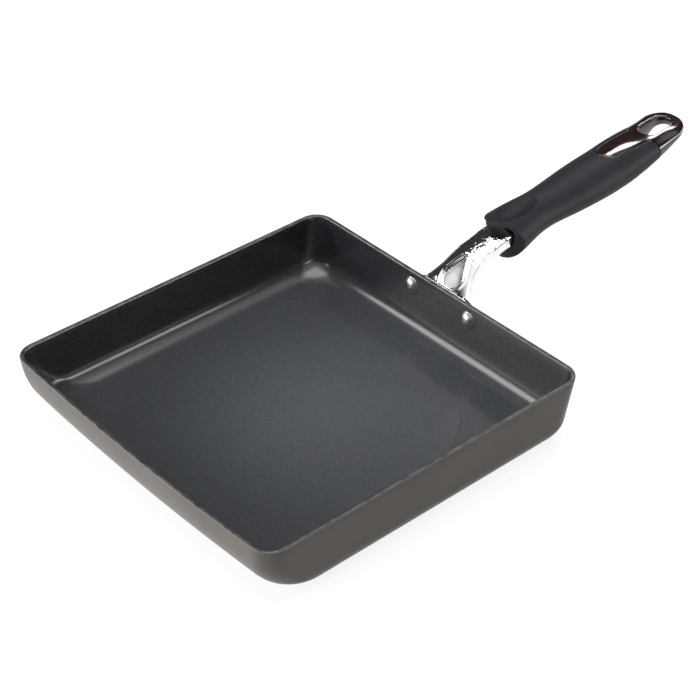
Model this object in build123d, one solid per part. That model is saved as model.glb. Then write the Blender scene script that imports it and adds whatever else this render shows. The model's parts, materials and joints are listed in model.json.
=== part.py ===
"""Tamagoyaki pan: a square pressed pan with a curved front wall and a riveted, screwed handle.

Frame: millimetres, +Z up, the handle runs along +Y and X is the width.
The origin is the centre of the flat underside, halfway between the side walls
and halfway between the handle wall and the ends of the curved front wall's rim.
"""
import os
from math import asin, atan, cos, degrees, radians, sin, tan

from build123d import *

# Pan
pan_width = 180.0            # outside, across the rim
pan_depth = 180.0            # outside, from the handle wall to the ends of the front rim
pan_height = 33.0            # rim above the underside
wall_thickness = 2.2
floor_thickness = 3.0
wall_draft = 3.5             # degrees that every wall leans outwards
rim_corner_radius = 10.0     # outside corners seen from above, at the rim
base_corner_radius = 15.0    # the same at the underside
base_round = 10.5            # outside rounding between floor and wall
front_round = 29.0           # the same at the front wall, where an omelette is rolled out
front_bow = 2.0              # how far the middle of the front wall stands out
rim_round = 0.7              # broken edges of the rim

# Induction disc, pressed into the underside
disc_diameter = 140.0
disc_thickness = 0.9
disc_clearance = 0.15        # all round the rim of the disc
disc_groove_spacing = 9.0
disc_groove_width = 1.2
disc_groove_depth = 0.25
disc_groove_count = 6

# Rivets
rivet_spacing = 38.0
rivet_height = 25.2          # above the underside
rivet_shank = 5.0
rivet_hole_clearance = 0.1   # on the radius
rivet_head_diameter = 9.2
rivet_head_height = 2.4
rivet_tail_diameter = 7.6
rivet_tail_height = 1.4
rivet_tail_chamfer = 0.5

# Bracket: flange on the wall, two arms that meet, a neck, and a tang inside the grip
flange_thickness = 2.0
flange_ear_radius = 4.9      # round each rivet
flange_top_width = 24.0
flange_strip = 2.0           # straight strips that set its upper and lower edges
flange_top_drop = 0.8        # its upper edge below the rim
flange_bottom_width = 26.0
flange_bottom_height = 15.5  # above the underside
neck_width = 15.2
neck_height = 7.0
arm_stations = (             # behind the rim, top above the rim, degrees of climb, width, height
    (-0.6, -1.6, 42, 30.0, 5.0),
    (3.4, 2.3, 44, 23.4, 5.0),
    (7.4, 6.2, 43, 18.0, 5.0),
    (12.4, 10.5, 37, neck_width, 5.5),
    (17.4, 13.4, 26, neck_width, 6.0),
    (23.4, 15.3, 14, neck_width, neck_height),
)
bracket_wall = 2.6           # thickness of its top
cheek_thickness = 2.0
bracket_edge_round = 1.1
bracket_crown = 1.5          # how far its top is arched across
neck_inside = 13.4           # how far the neck runs into the grip
tang_width = 10.6
tang_height = 6.4
tang_root = 3.0              # how far the tang starts inside the neck
tang_round = 1.2
tang_inside = 32.6           # how far the tang runs into the grip
tang_web = 4.0               # solid part of the tang that the screw doesn't reach
pocket_root_radius = 6.5     # dished pocket between the arms
pocket_tip_radius = 1.9
pocket_length = 22.5
pocket_depth = 1.1
pocket_draft = 22.0
pocket_place = 4.8           # centre of its wide end, behind the rim
pocket_rise = 3.5
pocket_reach = 5.0           # height of its cutter
arm_slope = 41.0             # degrees that the arms climb, on average

# Grip and end cap, set out along the handle axis from the grip's nose
nose_behind_rim = 29.6       # tip of the grip's hood
axis_above_rim = 13.4        # handle axis there
handle_rise = 5.5            # degrees
handle_length = 130.4
nose_radius = 14.0           # of its rounded front, seen from above
nose_half_width = 11.9       # to where that round ends
nose_flank = 3.0             # how far the cheeks run back beyond it
nose_lean = 13.0             # degrees that the front leans back towards its lower lip
notch_radius = 6.0           # rounded notch in each side of the mouth
notch_place = 0.6
notch_height = 2.6
grip_mouth_width = 26.0
grip_mouth_height = 22.6
grip_mouth_drop = 0.9        # its middle below the handle axis
grip_mouth_end = 9.0         # where its straight mouth starts to narrow
grip_waist_width = 22.2
grip_waist_height = 17.4
grip_belly_width = 27.0
grip_belly_height = 21.0
shoulder_lift = 0.4          # middle of the sections between mouth and waist, above the axis
cap_shoulder_width = 26.6    # where the cap takes over from the grip
cap_shoulder_height = 13.8
cap_shoulder_lift = 1.85
cap_tail_length = 25.4
tail_radius = 11.8           # of the round end, seen from above
tail_width = 24.2            # of the sections there, which the round end trims
tail_height = 8.6            # where the round end starts
tail_lift = 4.25             # its middle above the handle axis there
tail_end_height = 4.2        # the same beyond the tip, where the underside has swept up
tail_end_lift = 6.4
tail_edge_height = 10.0      # height and depth of its full-round edge
tail_edge_depth = 3.0
tail_edge_level = 4.2        # where the edge stands out most, above the handle axis
tail_crown = 2.6             # room above the full-round edge towards the middle
tail_overrun = 2.0           # sections run on beyond the round end
front_sections = (           # place, width, height, middle above the axis
    (20.0, 23.8, 19.5, shoulder_lift),
    (31.0, grip_waist_width, grip_waist_height, 0.7),
)
middle_sections = (          # the same, at shares of the way between the others
    (0.24, 24.0, 18.7, 0.3),
    (0.50, 26.3, 20.4, 0.1),
    (0.77, grip_belly_width, grip_belly_height, 0.0),
)
rear_sections = (            # the same, before the end
    (37.4, 27.2, 18.6, 0.9),
    (cap_tail_length, cap_shoulder_width, cap_shoulder_height, cap_shoulder_lift),
    (19.4, 25.2, 12.0, 2.6),
    (tail_radius, tail_width, tail_height, tail_lift),
)
socket_clearance = 0.3
mouth_width = 18.8           # flared opening round the neck
mouth_height = 13.0
mouth_depth = 11.0
mouth_corner = 3.0
mouth_lead = 2.0             # how far its flare starts in front of the hood's tip
seat_corner = 1.0            # where the flare meets the neck's seat
thumb_dish_place = 17.2
thumb_dish_length = 28.0
thumb_dish_width = 15.2
thumb_dish_depth = 3.0
thumb_dish_runout = 4.0      # the spindle's length beyond each end of the dish
tongue_width = 14.4
tongue_length = 30.0
tongue_thickness = 5.0
tongue_flare = 4.0           # round where its sides turn out into the tail
seam_gap = 0.12
beyond = 60.0                # further than the handle reaches from its axis, for cutters
overlap = 1.0                # how far a cutter or a joined solid runs past a face

# Hanging slot through the cap
slot_width = 10.4
slot_length = 20.6
slot_end_wall = 5.7          # behind it
slot_ramp_length = 5.7       # the front of it is a slope, and behind that it goes right through
slot_ramp_depth = 4.9
slot_lip = 0.1               # drop where the slope starts

# Screw, washers and nut that draw the cap, the grip and the tang together
screw_diameter = 4.0
screw_head_diameter = 7.4
screw_head_height = 2.6
screw_clearance = 0.3        # on the radius, in every bore round the screw
screw_drive_width = 1.1
screw_drive_depth = 1.3
screw_drive_length = 4.4
screw_head_edge = 1.0        # straight edge under the head's dome
screw_tip_chamfer = 0.6
screw_tip_inside = 26.5      # from the grip's nose
head_recess = 11.0           # from the end of the screw head to the foot of the slope
spigot_diameter = 12.0
spigot_wall = 3.0            # cap material in front of the washers
washer_diameter = 8.0
washer_thickness = 0.8
spring_washer_diameter = 7.0
spring_washer_thickness = 1.0
spring_washer_split = 0.8
nut_across_flats = 7.0
nut_height = 3.2
nut_clearance = 0.3

# Places that follow from these
nose_place = pan_depth / 2 + nose_behind_rim
axis_height = pan_height + axis_above_rim
tail_place = handle_length - tail_radius
grip_end_place = handle_length - cap_tail_length
tongue_place = grip_end_place - tongue_length
slot_end = handle_length - slot_end_wall
slot_start = slot_end - slot_length
slot_foot = slot_start + slot_ramp_length


def wall_inset(level, height, round_radius):
    """How far a leaning wall with a rounded foot stands inside its rim, at a level above its floor."""
    lean = radians(wall_draft)
    foot_top = round_radius * (1 - sin(lean))
    if level >= foot_top:
        return (height - level) * tan(lean)
    turn = asin((round_radius - level) / round_radius)
    foot_length = round_radius * (1 - sin(lean)) / cos(lean)
    return height * tan(lean) + foot_length - round_radius * cos(turn)


def pan_outline(level, side, back, front, corner):
    """One closed horizontal outline: half-widths to each wall, round corners and a bowed front."""
    bow = 0.0
    for _ in range(4):
        bow = 2 * atan(front_bow / (side - corner + corner * sin(bow)))
    chord_end = side - corner + corner * sin(bow)
    front_corner = -front + corner * cos(bow)
    turn = 90 - degrees(bow)
    edges = [
        Line((side, front_corner), (side, back - corner)),
        CenterArc((side - corner, back - corner), corner, 0, 90),
        Line((side - corner, back), (corner - side, back)),
        CenterArc((corner - side, back - corner), corner, 90, 90),
        Line((-side, back - corner), (-side, front_corner)),
        CenterArc((corner - side, front_corner), corner, 180, turn),
        ThreePointArc((-chord_end, -front), (0, -front - front_bow), (chord_end, -front)),
        CenterArc((side - corner, front_corner), corner, 270 + degrees(bow), turn),
    ]
    return Pos(0, 0, level) * make_face(edges)


def pan_section(level, floor_level, offset, spread=0.0):
    """Outline of the outer or inner form at a level, moved outwards by spread."""
    height = pan_height - floor_level
    side = wall_inset(level - floor_level, height, base_round - offset) + offset - spread
    front = wall_inset(level - floor_level, height, front_round - offset) + offset - spread
    blend = level / pan_height
    corner = base_corner_radius + (rim_corner_radius - base_corner_radius) * blend - offset + spread
    return pan_outline(level, pan_width / 2 - side, pan_depth / 2 - side, pan_depth / 2 - front, corner)


def pan_form(offset, floor_level):
    """The pan's outer or inner form below its rim's rounding: a rounded foot and leaning walls."""
    foot = base_round - offset
    foot_turns = [wall_draft + (90 - wall_draft) * step / 6 for step in range(7)]
    foot_levels = [floor_level + foot * (1 - sin(radians(turn))) for turn in foot_turns]
    rise = pan_height - rim_round - foot_levels[0]
    wall_levels = [foot_levels[0] + rise * step / 5 for step in range(6)]
    lower = loft([pan_section(level, floor_level, offset) for level in reversed(foot_levels)])
    return lower + loft([pan_section(level, floor_level, offset) for level in wall_levels])


def lip_form(offset, floor_level, direction):
    """The top of that form, where the edge of the rim turns inwards (-1) or outwards (1)."""
    sections = []
    for turn in (0, 45, 90):
        rise = rim_round * sin(radians(turn))
        spread = direction * rim_round * (1 - cos(radians(turn)))
        sections.append(pan_section(pan_height - rim_round + rise, floor_level, offset, spread))
    return loft(sections)


def handle_wall():
    """Plane on the outside of the handle wall at the rivets' height: X across, Y up the wall, Z outwards."""
    inset = wall_inset(rivet_height, pan_height, base_round)
    lean = radians(wall_draft)
    return Plane(
        origin=(0, pan_depth / 2 - inset, rivet_height),
        x_dir=(-1, 0, 0),
        z_dir=(0, cos(lean), -sin(lean)),
    )


def rivet_places():
    """Places of the two rivets on the handle wall."""
    return [handle_wall() * Pos(side * rivet_spacing / 2, 0, 0) for side in (1, -1)]


def rivet_holes():
    """Both rivet holes, long enough for the wall and the flange."""
    reach = wall_thickness + flange_thickness + 2 * overlap
    return [place * Cylinder(rivet_shank / 2 + rivet_hole_clearance, 2 * reach) for place in rivet_places()]


def pan_body():
    """The pressed pan with its disc seat, rivet holes and broken rim edges."""
    body = pan_form(0, 0) - pan_form(wall_thickness, floor_thickness)
    body -= Cylinder(
        disc_diameter / 2 + disc_clearance, disc_thickness, align=(Align.CENTER, Align.CENTER, Align.MIN),
    )
    for hole in rivet_holes():
        body -= hole
    return body + (lip_form(0, 0, -1) - lip_form(wall_thickness, floor_thickness, 1))


def induction_disc():
    """Magnetic steel disc, flush with the underside, with turned grooves."""
    disc = Cylinder(disc_diameter / 2, disc_thickness, align=(Align.CENTER, Align.CENTER, Align.MIN))
    for number in range(1, disc_groove_count + 1):
        radius = number * disc_groove_spacing
        ring = Circle(radius + disc_groove_width / 2) - Circle(radius - disc_groove_width / 2)
        disc -= extrude(ring, disc_groove_depth)
    return disc


def dome_arc(radius, height, base):
    """Arc of a dome's profile, from the edge of its disc up to the axis."""
    sphere = (radius ** 2 + height ** 2) / (2 * height)
    half = asin(radius / sphere) / 2
    middle = (sphere * sin(half), base + height - sphere + sphere * cos(half))
    return ThreePointArc((radius, base), middle, (0, base + height))


def rivet(place):
    """One rivet: domed head inside the pan, shank through the wall, flat tail on the flange."""
    head, shank, tail = rivet_head_diameter / 2, rivet_shank / 2, rivet_tail_diameter / 2
    inside = -wall_thickness / cos(radians(wall_draft))
    tail_top = flange_thickness + rivet_tail_height
    profile = make_face([
        dome_arc(head, rivet_head_height, -inside),
        Line((0, rivet_head_height - inside), (0, -tail_top)),
        Line((0, -tail_top), (tail - rivet_tail_chamfer, -tail_top)),
        Line((tail - rivet_tail_chamfer, -tail_top), (tail, rivet_tail_chamfer - tail_top)),
        Line((tail, rivet_tail_chamfer - tail_top), (tail, -flange_thickness)),
        Line((tail, -flange_thickness), (shank, -flange_thickness)),
        Line((shank, -flange_thickness), (shank, -inside)),
        Line((shank, -inside), (head, -inside)),
    ])
    return place * Rot(-90, 0, 0) * revolve(profile, Axis.Y)


def neck_station(place, top, slope, width, height):
    """Plane across the bracket, whose Y points up and whose origin is under the middle of its top."""
    tilt = radians(slope)
    plane = Plane(origin=(0, place, top), x_dir=(-1, 0, 0), z_dir=(0, cos(tilt), sin(tilt)))
    return plane, width, height


def bracket_stations():
    """Stations of the arms, then of the straight neck."""
    rim = pan_depth / 2
    arms = [
        neck_station(rim + behind, pan_height + above, slope, width, height)
        for behind, above, slope, width, height in arm_stations
    ]
    neck = []
    rise, half = radians(handle_rise), neck_height / 2
    for inside in (0, neck_inside):
        behind = nose_place + inside * cos(rise) - half * sin(rise)
        top = axis_height + inside * sin(rise) + half * cos(rise)
        neck.append(neck_station(behind, top, handle_rise, neck_width, neck_height))
    return arms, neck


def bracket_section(width, height):
    """Section of the bar, hanging from the middle of its arched top, with broken edges."""
    side = width / 2
    section = make_face([
        ThreePointArc((-side, -bracket_crown), (0, 0), (side, -bracket_crown)),
        Line((side, -bracket_crown), (side, -height)),
        Line((side, -height), (-side, -height)),
        Line((-side, -height), (-side, -bracket_crown)),
    ])
    return fillet(section.vertices(), bracket_edge_round)


def bracket_bar(stations):
    """Solid bar through stations."""
    return loft([plane * bracket_section(width, height) for plane, width, height in stations])


def bracket_hollow(stations):
    """Room under the bracket's top and between its cheeks."""
    ceiling = -bracket_wall - bracket_crown / 2
    return loft([
        plane * Pos(0, ceiling - height / 2) * Rectangle(width - 2 * cheek_thickness, height)
        for plane, width, height in stations
    ])


def flange():
    """The plate behind the handle wall: an ear round each rivet, narrower at its upper edge."""
    top = pan_height - flange_top_drop - rivet_height
    bottom = flange_bottom_height - rivet_height
    ears = [Pos(side * rivet_spacing / 2, 0) * Circle(flange_ear_radius) for side in (1, -1)]
    upper = Pos(0, top - flange_strip / 2) * Rectangle(flange_top_width, flange_strip)
    lower = Pos(0, bottom + flange_strip / 2) * Rectangle(flange_bottom_width, flange_strip)
    outline = make_hull((ears[0] + ears[1] + upper + lower).edges())
    return extrude(handle_wall() * outline, flange_thickness)


def pocket_outline(level, shrink):
    """Teardrop in the plane of the arms, at a height above it."""
    root = Pos(0, 0) * Circle(pocket_root_radius - shrink)
    tip = Pos(0, pocket_length - pocket_root_radius - pocket_tip_radius) * Circle(pocket_tip_radius - shrink)
    plane = Plane(
        origin=(0, pan_depth / 2 + pocket_place, pan_height + pocket_rise), x_dir=(1, 0, 0),
        z_dir=(0, -sin(radians(arm_slope)), cos(radians(arm_slope))),
    )
    return plane * Pos(0, 0, level) * make_hull((root + tip).edges())


def pocket():
    """Cutter for the dished pocket between the arms, with leaning sides."""
    flare = tan(radians(pocket_draft))
    return loft([
        pocket_outline(-pocket_depth, pocket_depth * flare),
        pocket_outline(pocket_reach, -pocket_depth * flare),
    ])


def handle_bracket():
    """Chromed bracket: flange, two arms round a dished pocket, hollow neck and solid tang."""
    arms, neck = bracket_stations()
    body = bracket_bar(arms + neck[:1]) + bracket_bar(neck)
    body -= bracket_hollow(arms + neck[:1])
    body += flange()
    body -= handle_wall() * Pos(0, 0, -beyond / 2) * Box(2 * beyond, 2 * beyond, beyond)
    body += handle_frame() * tang()
    body -= pocket()
    for hole in rivet_holes():
        body -= hole
    return body


def handle_frame():
    """Location of the handle axis: origin at the nose, +Y along the axis, X across."""
    return Pos(0, nose_place, axis_height) * Rot(handle_rise, 0, 0)


def tang():
    """Solid end of the bracket inside the grip, drilled for the screw, in the handle frame."""
    start = neck_inside - tang_root
    bar = Pos(0, (start + tang_inside) / 2, 0) * Box(tang_width, tang_inside - start, tang_height)
    bar = fillet(bar.edges().filter_by(Axis.Y), tang_round)
    return bar - screw_axis_cylinder(start + tang_web, tang_inside + overlap, screw_diameter / 2 + screw_clearance)


def handle_section(place, width, height, lift):
    """Oval across the handle axis."""
    return Pos(0, place, lift) * Rot(90, 0, 0) * Ellipse(width / 2, height / 2)


def handle_solid():
    """Outside of the grip and the cap together, in the handle frame."""
    overrun = handle_length + tail_overrun
    mouth = (grip_mouth_width, grip_mouth_height, -grip_mouth_drop)
    sections = [(place, *mouth) for place in (-grip_mouth_end / 2, grip_mouth_end)]
    sections += front_sections
    waist, shoulder = front_sections[-1][0], handle_length - rear_sections[0][0]
    sections += [(waist + share * (shoulder - waist), *size) for share, *size in middle_sections]
    sections += [(handle_length - before, *size) for before, *size in rear_sections]
    sections.append((overrun, tail_width, tail_end_height, tail_end_lift))
    body = loft([handle_section(*section) for section in sections])
    return body & nose_space() & tail_space()


def nose_space():
    """Everything behind the grip's rounded, leaning front."""
    setback = nose_radius - (nose_radius ** 2 - nose_half_width ** 2) ** 0.5
    flank = setback + nose_flank
    outline = make_face([
        ThreePointArc((nose_half_width, setback), (0, 0), (-nose_half_width, setback)),
        Line((-nose_half_width, setback), (-grip_mouth_width, flank)),
        Line((-grip_mouth_width, flank), (-grip_mouth_width, 2 * handle_length)),
        Line((-grip_mouth_width, 2 * handle_length), (grip_mouth_width, 2 * handle_length)),
        Line((grip_mouth_width, 2 * handle_length), (grip_mouth_width, flank)),
        Line((grip_mouth_width, flank), (nose_half_width, setback)),
    ])
    prism = extrude(outline, beyond, both=True)
    return Pos(0, 0, grip_mouth_height / 2 - grip_mouth_drop) * Rot(nose_lean, 0, 0) * prism


def tail_space():
    """Everything in front of the rounded end of the handle, whose edge is rounded too."""
    outline = Polyline(
        (-beyond, -beyond), (beyond, -beyond), (beyond, grip_end_place), (grip_belly_width, grip_end_place),
        (tail_radius, tail_place), (-tail_radius, tail_place), (-grip_belly_width, grip_end_place),
        (-beyond, grip_end_place), close=True,
    )
    front = extrude(make_face(outline.edges()), beyond, both=True)
    edge, half = tail_radius - tail_edge_depth, tail_edge_height / 2
    crown = half + tail_crown
    profile = make_face([
        Line((0, -crown), (edge, -half)),
        ThreePointArc((edge, -half), (tail_radius, 0), (edge, half)),
        Line((edge, half), (0, crown)),
        Line((0, crown), (0, -crown)),
    ])
    end = Pos(0, tail_place, tail_edge_level) * Rot(90, 0, 0) * revolve(profile, Axis.Y)
    return front + end


def cap_region(gap):
    """Space that belongs to the cap: its tongue, its tail and the spigot inside the grip."""
    tongue = Pos(0, (tongue_place + tail_place) / 2, 0) * SlotOverall(
        tail_place - tongue_place + 2 * gap, tongue_width + 2 * gap, rotation=90,
    )
    tail = Pos(0, grip_end_place + beyond / 2 - gap, 0) * Rectangle(beyond, beyond)
    plan = tongue + tail
    corners = plan.vertices().filter_by_position(Axis.Y, grip_end_place - overlap - gap, grip_end_place + overlap - gap)
    inner = [v for v in corners if abs(v.X) < tongue_width]
    plan = fillet(inner, tongue_flare)
    floor = grip_belly_height / 2 - tongue_thickness - gap
    upper = Pos(0, 0, floor) * extrude(plan, beyond)
    lower = extrude(tail, beyond, both=True)
    front = washer_stack()[0] - spigot_wall - gap
    return upper + lower + screw_axis_cylinder(front, grip_end_place + overlap, spigot_diameter / 2 + gap)


def slot_cutter():
    """Hanging slot: one outline from above, whose front is a slope down to the screw's recess."""
    outline = Pos(0, (slot_start + slot_end) / 2, 0) * SlotOverall(slot_end - slot_start, slot_width, rotation=90)
    top = cap_shoulder_height / 2 + cap_shoulder_lift - slot_lip
    side = make_face(Polyline(
        (slot_start, top), (slot_foot, top - slot_ramp_depth), (slot_foot, -beyond), (slot_end, -beyond),
        (slot_end, beyond), (slot_start, beyond), close=True,
    ).edges())
    return extrude(outline, beyond, both=True) & extrude(Plane.YZ * side, slot_width, both=True)


def screw_axis_cylinder(start, end, radius):
    """Cylinder on the handle axis between two places."""
    return Pos(0, (start + end) / 2, 0) * Rot(90, 0, 0) * Cylinder(radius, end - start)


def washer_stack():
    """Places along the axis of the flat washer's front, the spring washer's front and the head's bearing face."""
    bearing = slot_foot - head_recess - screw_head_height
    return bearing - spring_washer_thickness - washer_thickness, bearing - spring_washer_thickness, bearing


def end_cap():
    """Glossy cap: tongue let into the grip, flattened tail with the hanging slot, spigot for the screw."""
    flat_washer_place = washer_stack()[0]
    cap = handle_solid() & cap_region(0)
    cap -= slot_cutter()
    cap -= screw_axis_cylinder(tongue_place, slot_foot, screw_diameter / 2 + screw_clearance)
    cap -= screw_axis_cylinder(flat_washer_place, slot_foot + slot_width / 2, washer_diameter / 2 + screw_clearance)
    return handle_frame() * cap


def thumb_dish():
    """Spindle that hollows out the thumb rest."""
    half = thumb_dish_length / 2
    belly = ((thumb_dish_width / 2) ** 2 + thumb_dish_depth ** 2) / (2 * thumb_dish_depth)
    sag = (half ** 2 + thumb_dish_depth ** 2) / (2 * thumb_dish_depth)
    reach = half + thumb_dish_runout
    end = belly - sag + (sag ** 2 - reach ** 2) ** 0.5
    profile = make_face([
        Line((0, -reach), (0, reach)),
        Line((0, reach), (end, reach)),
        ThreePointArc((end, reach), (belly, 0), (end, -reach)),
        Line((end, -reach), (0, -reach)),
    ])
    surface = (grip_mouth_height + grip_waist_height) / 4 + shoulder_lift - grip_mouth_drop / 2
    return Pos(0, thumb_dish_place, surface + belly - thumb_dish_depth) * revolve(profile, Axis.Y)


def socket():
    """Cavity in the grip: flared mouth, seat of the neck, seat of the tang, nut pocket and screw bore."""
    neck_stop = neck_inside + socket_clearance
    nut_stop = tang_inside + nut_height + nut_clearance
    mouth = loft([
        Pos(0, -mouth_lead, 0) * Rot(90, 0, 0) * RectangleRounded(mouth_width, mouth_height, mouth_corner),
        Pos(0, mouth_depth, 0) * Rot(90, 0, 0) * RectangleRounded(
            neck_width + 2 * socket_clearance, neck_height + 2 * socket_clearance, seat_corner,
        ),
    ])
    neck = Pos(0, neck_stop / 2, 0) * Box(
        neck_width + 2 * socket_clearance, neck_stop, neck_height + 2 * socket_clearance,
    )
    bar = Pos(0, tang_inside / 2, 0) * Box(
        tang_width + 2 * socket_clearance, tang_inside, tang_height + 2 * socket_clearance,
    )
    nut_room = nut_across_flats / 2 / cos(radians(30)) + nut_clearance
    cavity = mouth + neck + bar
    cavity += screw_axis_cylinder(tang_inside - overlap, nut_stop, nut_room)
    cavity += screw_axis_cylinder(nut_stop - overlap, grip_end_place, screw_diameter / 2 + screw_clearance)
    return cavity


def grip():
    """Moulded grip with its thumb rest, the socket for the bracket and the seat of the cap."""
    body = handle_solid() - cap_region(seam_gap)
    body -= socket()
    body -= thumb_dish()
    body -= Pos(0, notch_place, notch_height) * Rot(0, 90, 0) * Cylinder(notch_radius, 2 * grip_mouth_width)
    return handle_frame() * body


def tang_nut():
    """Hexagon nut welded to the end of the tang."""
    blank = extrude(Rot(90, 0, 0) * RegularPolygon(nut_across_flats / 2 / cos(radians(30)), 6), -nut_height)
    nut = Pos(0, tang_inside, 0) * blank
    nut -= screw_axis_cylinder(tang_inside - overlap, tang_inside + nut_height + overlap, screw_diameter / 2)
    return handle_frame() * nut


def handle_screw():
    """Long screw from the cap's slot to the nut, with a rounded head and a cross drive."""
    bearing = washer_stack()[2]
    tip = screw_tip_inside
    head, shank = screw_head_diameter / 2, screw_diameter / 2
    edge, top = bearing + screw_head_edge, bearing + screw_head_height
    half = make_face([
        Line((0, tip), (shank - screw_tip_chamfer, tip)),
        Line((shank - screw_tip_chamfer, tip), (shank, tip + screw_tip_chamfer)),
        Line((shank, tip + screw_tip_chamfer), (shank, bearing)),
        Line((shank, bearing), (head, bearing)),
        Line((head, bearing), (head, edge)),
        dome_arc(head, top - edge, edge),
        Line((0, top), (0, tip)),
    ])
    screw = revolve(half, Axis.Y)
    for turn in (0, 90):
        screw -= Pos(0, top, 0) * Rot(0, turn, 0) * Box(screw_drive_length, 2 * screw_drive_depth, screw_drive_width)
    return handle_frame() * screw


def flat_washer():
    """Plain washer on the floor of the cap's recess."""
    start = washer_stack()[0]
    ring = screw_axis_cylinder(start, start + washer_thickness, washer_diameter / 2)
    ring -= screw_axis_cylinder(start - overlap, start + 2 * overlap, screw_diameter / 2 + screw_clearance / 2)
    return handle_frame() * ring


def spring_washer():
    """Split spring washer under the screw head."""
    start = washer_stack()[1]
    ring = screw_axis_cylinder(start, start + spring_washer_thickness, spring_washer_diameter / 2)
    ring -= screw_axis_cylinder(start - overlap, start + 2 * overlap, screw_diameter / 2 + screw_clearance / 2)
    ring -= Pos(0, start, spring_washer_diameter / 2) * Box(
        spring_washer_split, 4 * spring_washer_thickness, spring_washer_diameter,
    )
    return handle_frame() * ring


def main():
    """Build every piece and write it under its own name."""
    pieces = {
        "pan_body": pan_body(),
        "induction_disc": induction_disc(),
        "rivets": Compound(children=[rivet(place) for place in rivet_places()]),
        "handle_bracket": handle_bracket(),
        "tang_nut": tang_nut(),
        "grip": grip(),
        "end_cap": end_cap(),
        "handle_screw": handle_screw(),
        "flat_washer": flat_washer(),
        "spring_washer": spring_washer(),
    }
    os.makedirs("parts", exist_ok=True)
    for name, shape in pieces.items():
        export_step(shape, f"parts/{name}.step")


main()
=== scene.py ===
"""Looks of the tamagoyaki pan: smooth skins, finishes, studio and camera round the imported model.

Lengths are in millimetres and are turned into metres when a mesh is made. Only the finishes,
the lamps and the floor give theirs in metres.
The pan's frame has its origin under the middle of the floor, +Z up and +Y along the handle.
The handle's own frame starts at the tip of the grip's hood, with +Y along the handle's axis.
"""
import json
import logging
import math
from dataclasses import dataclass, field
from enum import Enum
from typing import Any, Sequence, Union

import bmesh
import bpy
import numpy as np
from mathutils import Matrix, Vector

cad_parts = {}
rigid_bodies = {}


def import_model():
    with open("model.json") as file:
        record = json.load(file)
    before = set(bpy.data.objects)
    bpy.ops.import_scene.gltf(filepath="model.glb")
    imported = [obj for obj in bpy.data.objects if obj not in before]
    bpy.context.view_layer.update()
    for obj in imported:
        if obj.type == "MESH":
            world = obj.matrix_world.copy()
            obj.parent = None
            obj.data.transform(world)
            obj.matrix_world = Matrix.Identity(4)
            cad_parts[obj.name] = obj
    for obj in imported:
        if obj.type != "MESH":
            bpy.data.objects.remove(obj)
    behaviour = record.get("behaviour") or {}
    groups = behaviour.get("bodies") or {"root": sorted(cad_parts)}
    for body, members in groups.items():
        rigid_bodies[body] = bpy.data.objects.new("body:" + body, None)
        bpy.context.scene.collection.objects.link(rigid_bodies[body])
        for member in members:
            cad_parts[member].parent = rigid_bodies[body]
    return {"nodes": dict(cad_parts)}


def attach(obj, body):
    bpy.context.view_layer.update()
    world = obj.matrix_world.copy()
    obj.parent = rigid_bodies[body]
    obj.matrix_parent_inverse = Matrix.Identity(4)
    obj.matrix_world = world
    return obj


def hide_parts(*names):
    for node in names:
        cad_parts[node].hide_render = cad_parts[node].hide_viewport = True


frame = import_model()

LOG = logging.getLogger("tamagoyaki_pan")
MM = 0.001
BODY = "root"
ROD_POINTS = 64
CORNER_STEPS = 8

Pair = tuple[float, float]
Triple = tuple[float, float, float]


# Modelling with Blender's operators


class Cut(Enum):
    """What one solid does to another."""

    TAKE_AWAY = "DIFFERENCE"
    KEEP_COMMON = "INTERSECT"
    ADD = "UNION"


class Closing(Enum):
    """How an open end of a skin is closed."""

    FLAT = "flat"
    POLE = "pole"


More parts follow.
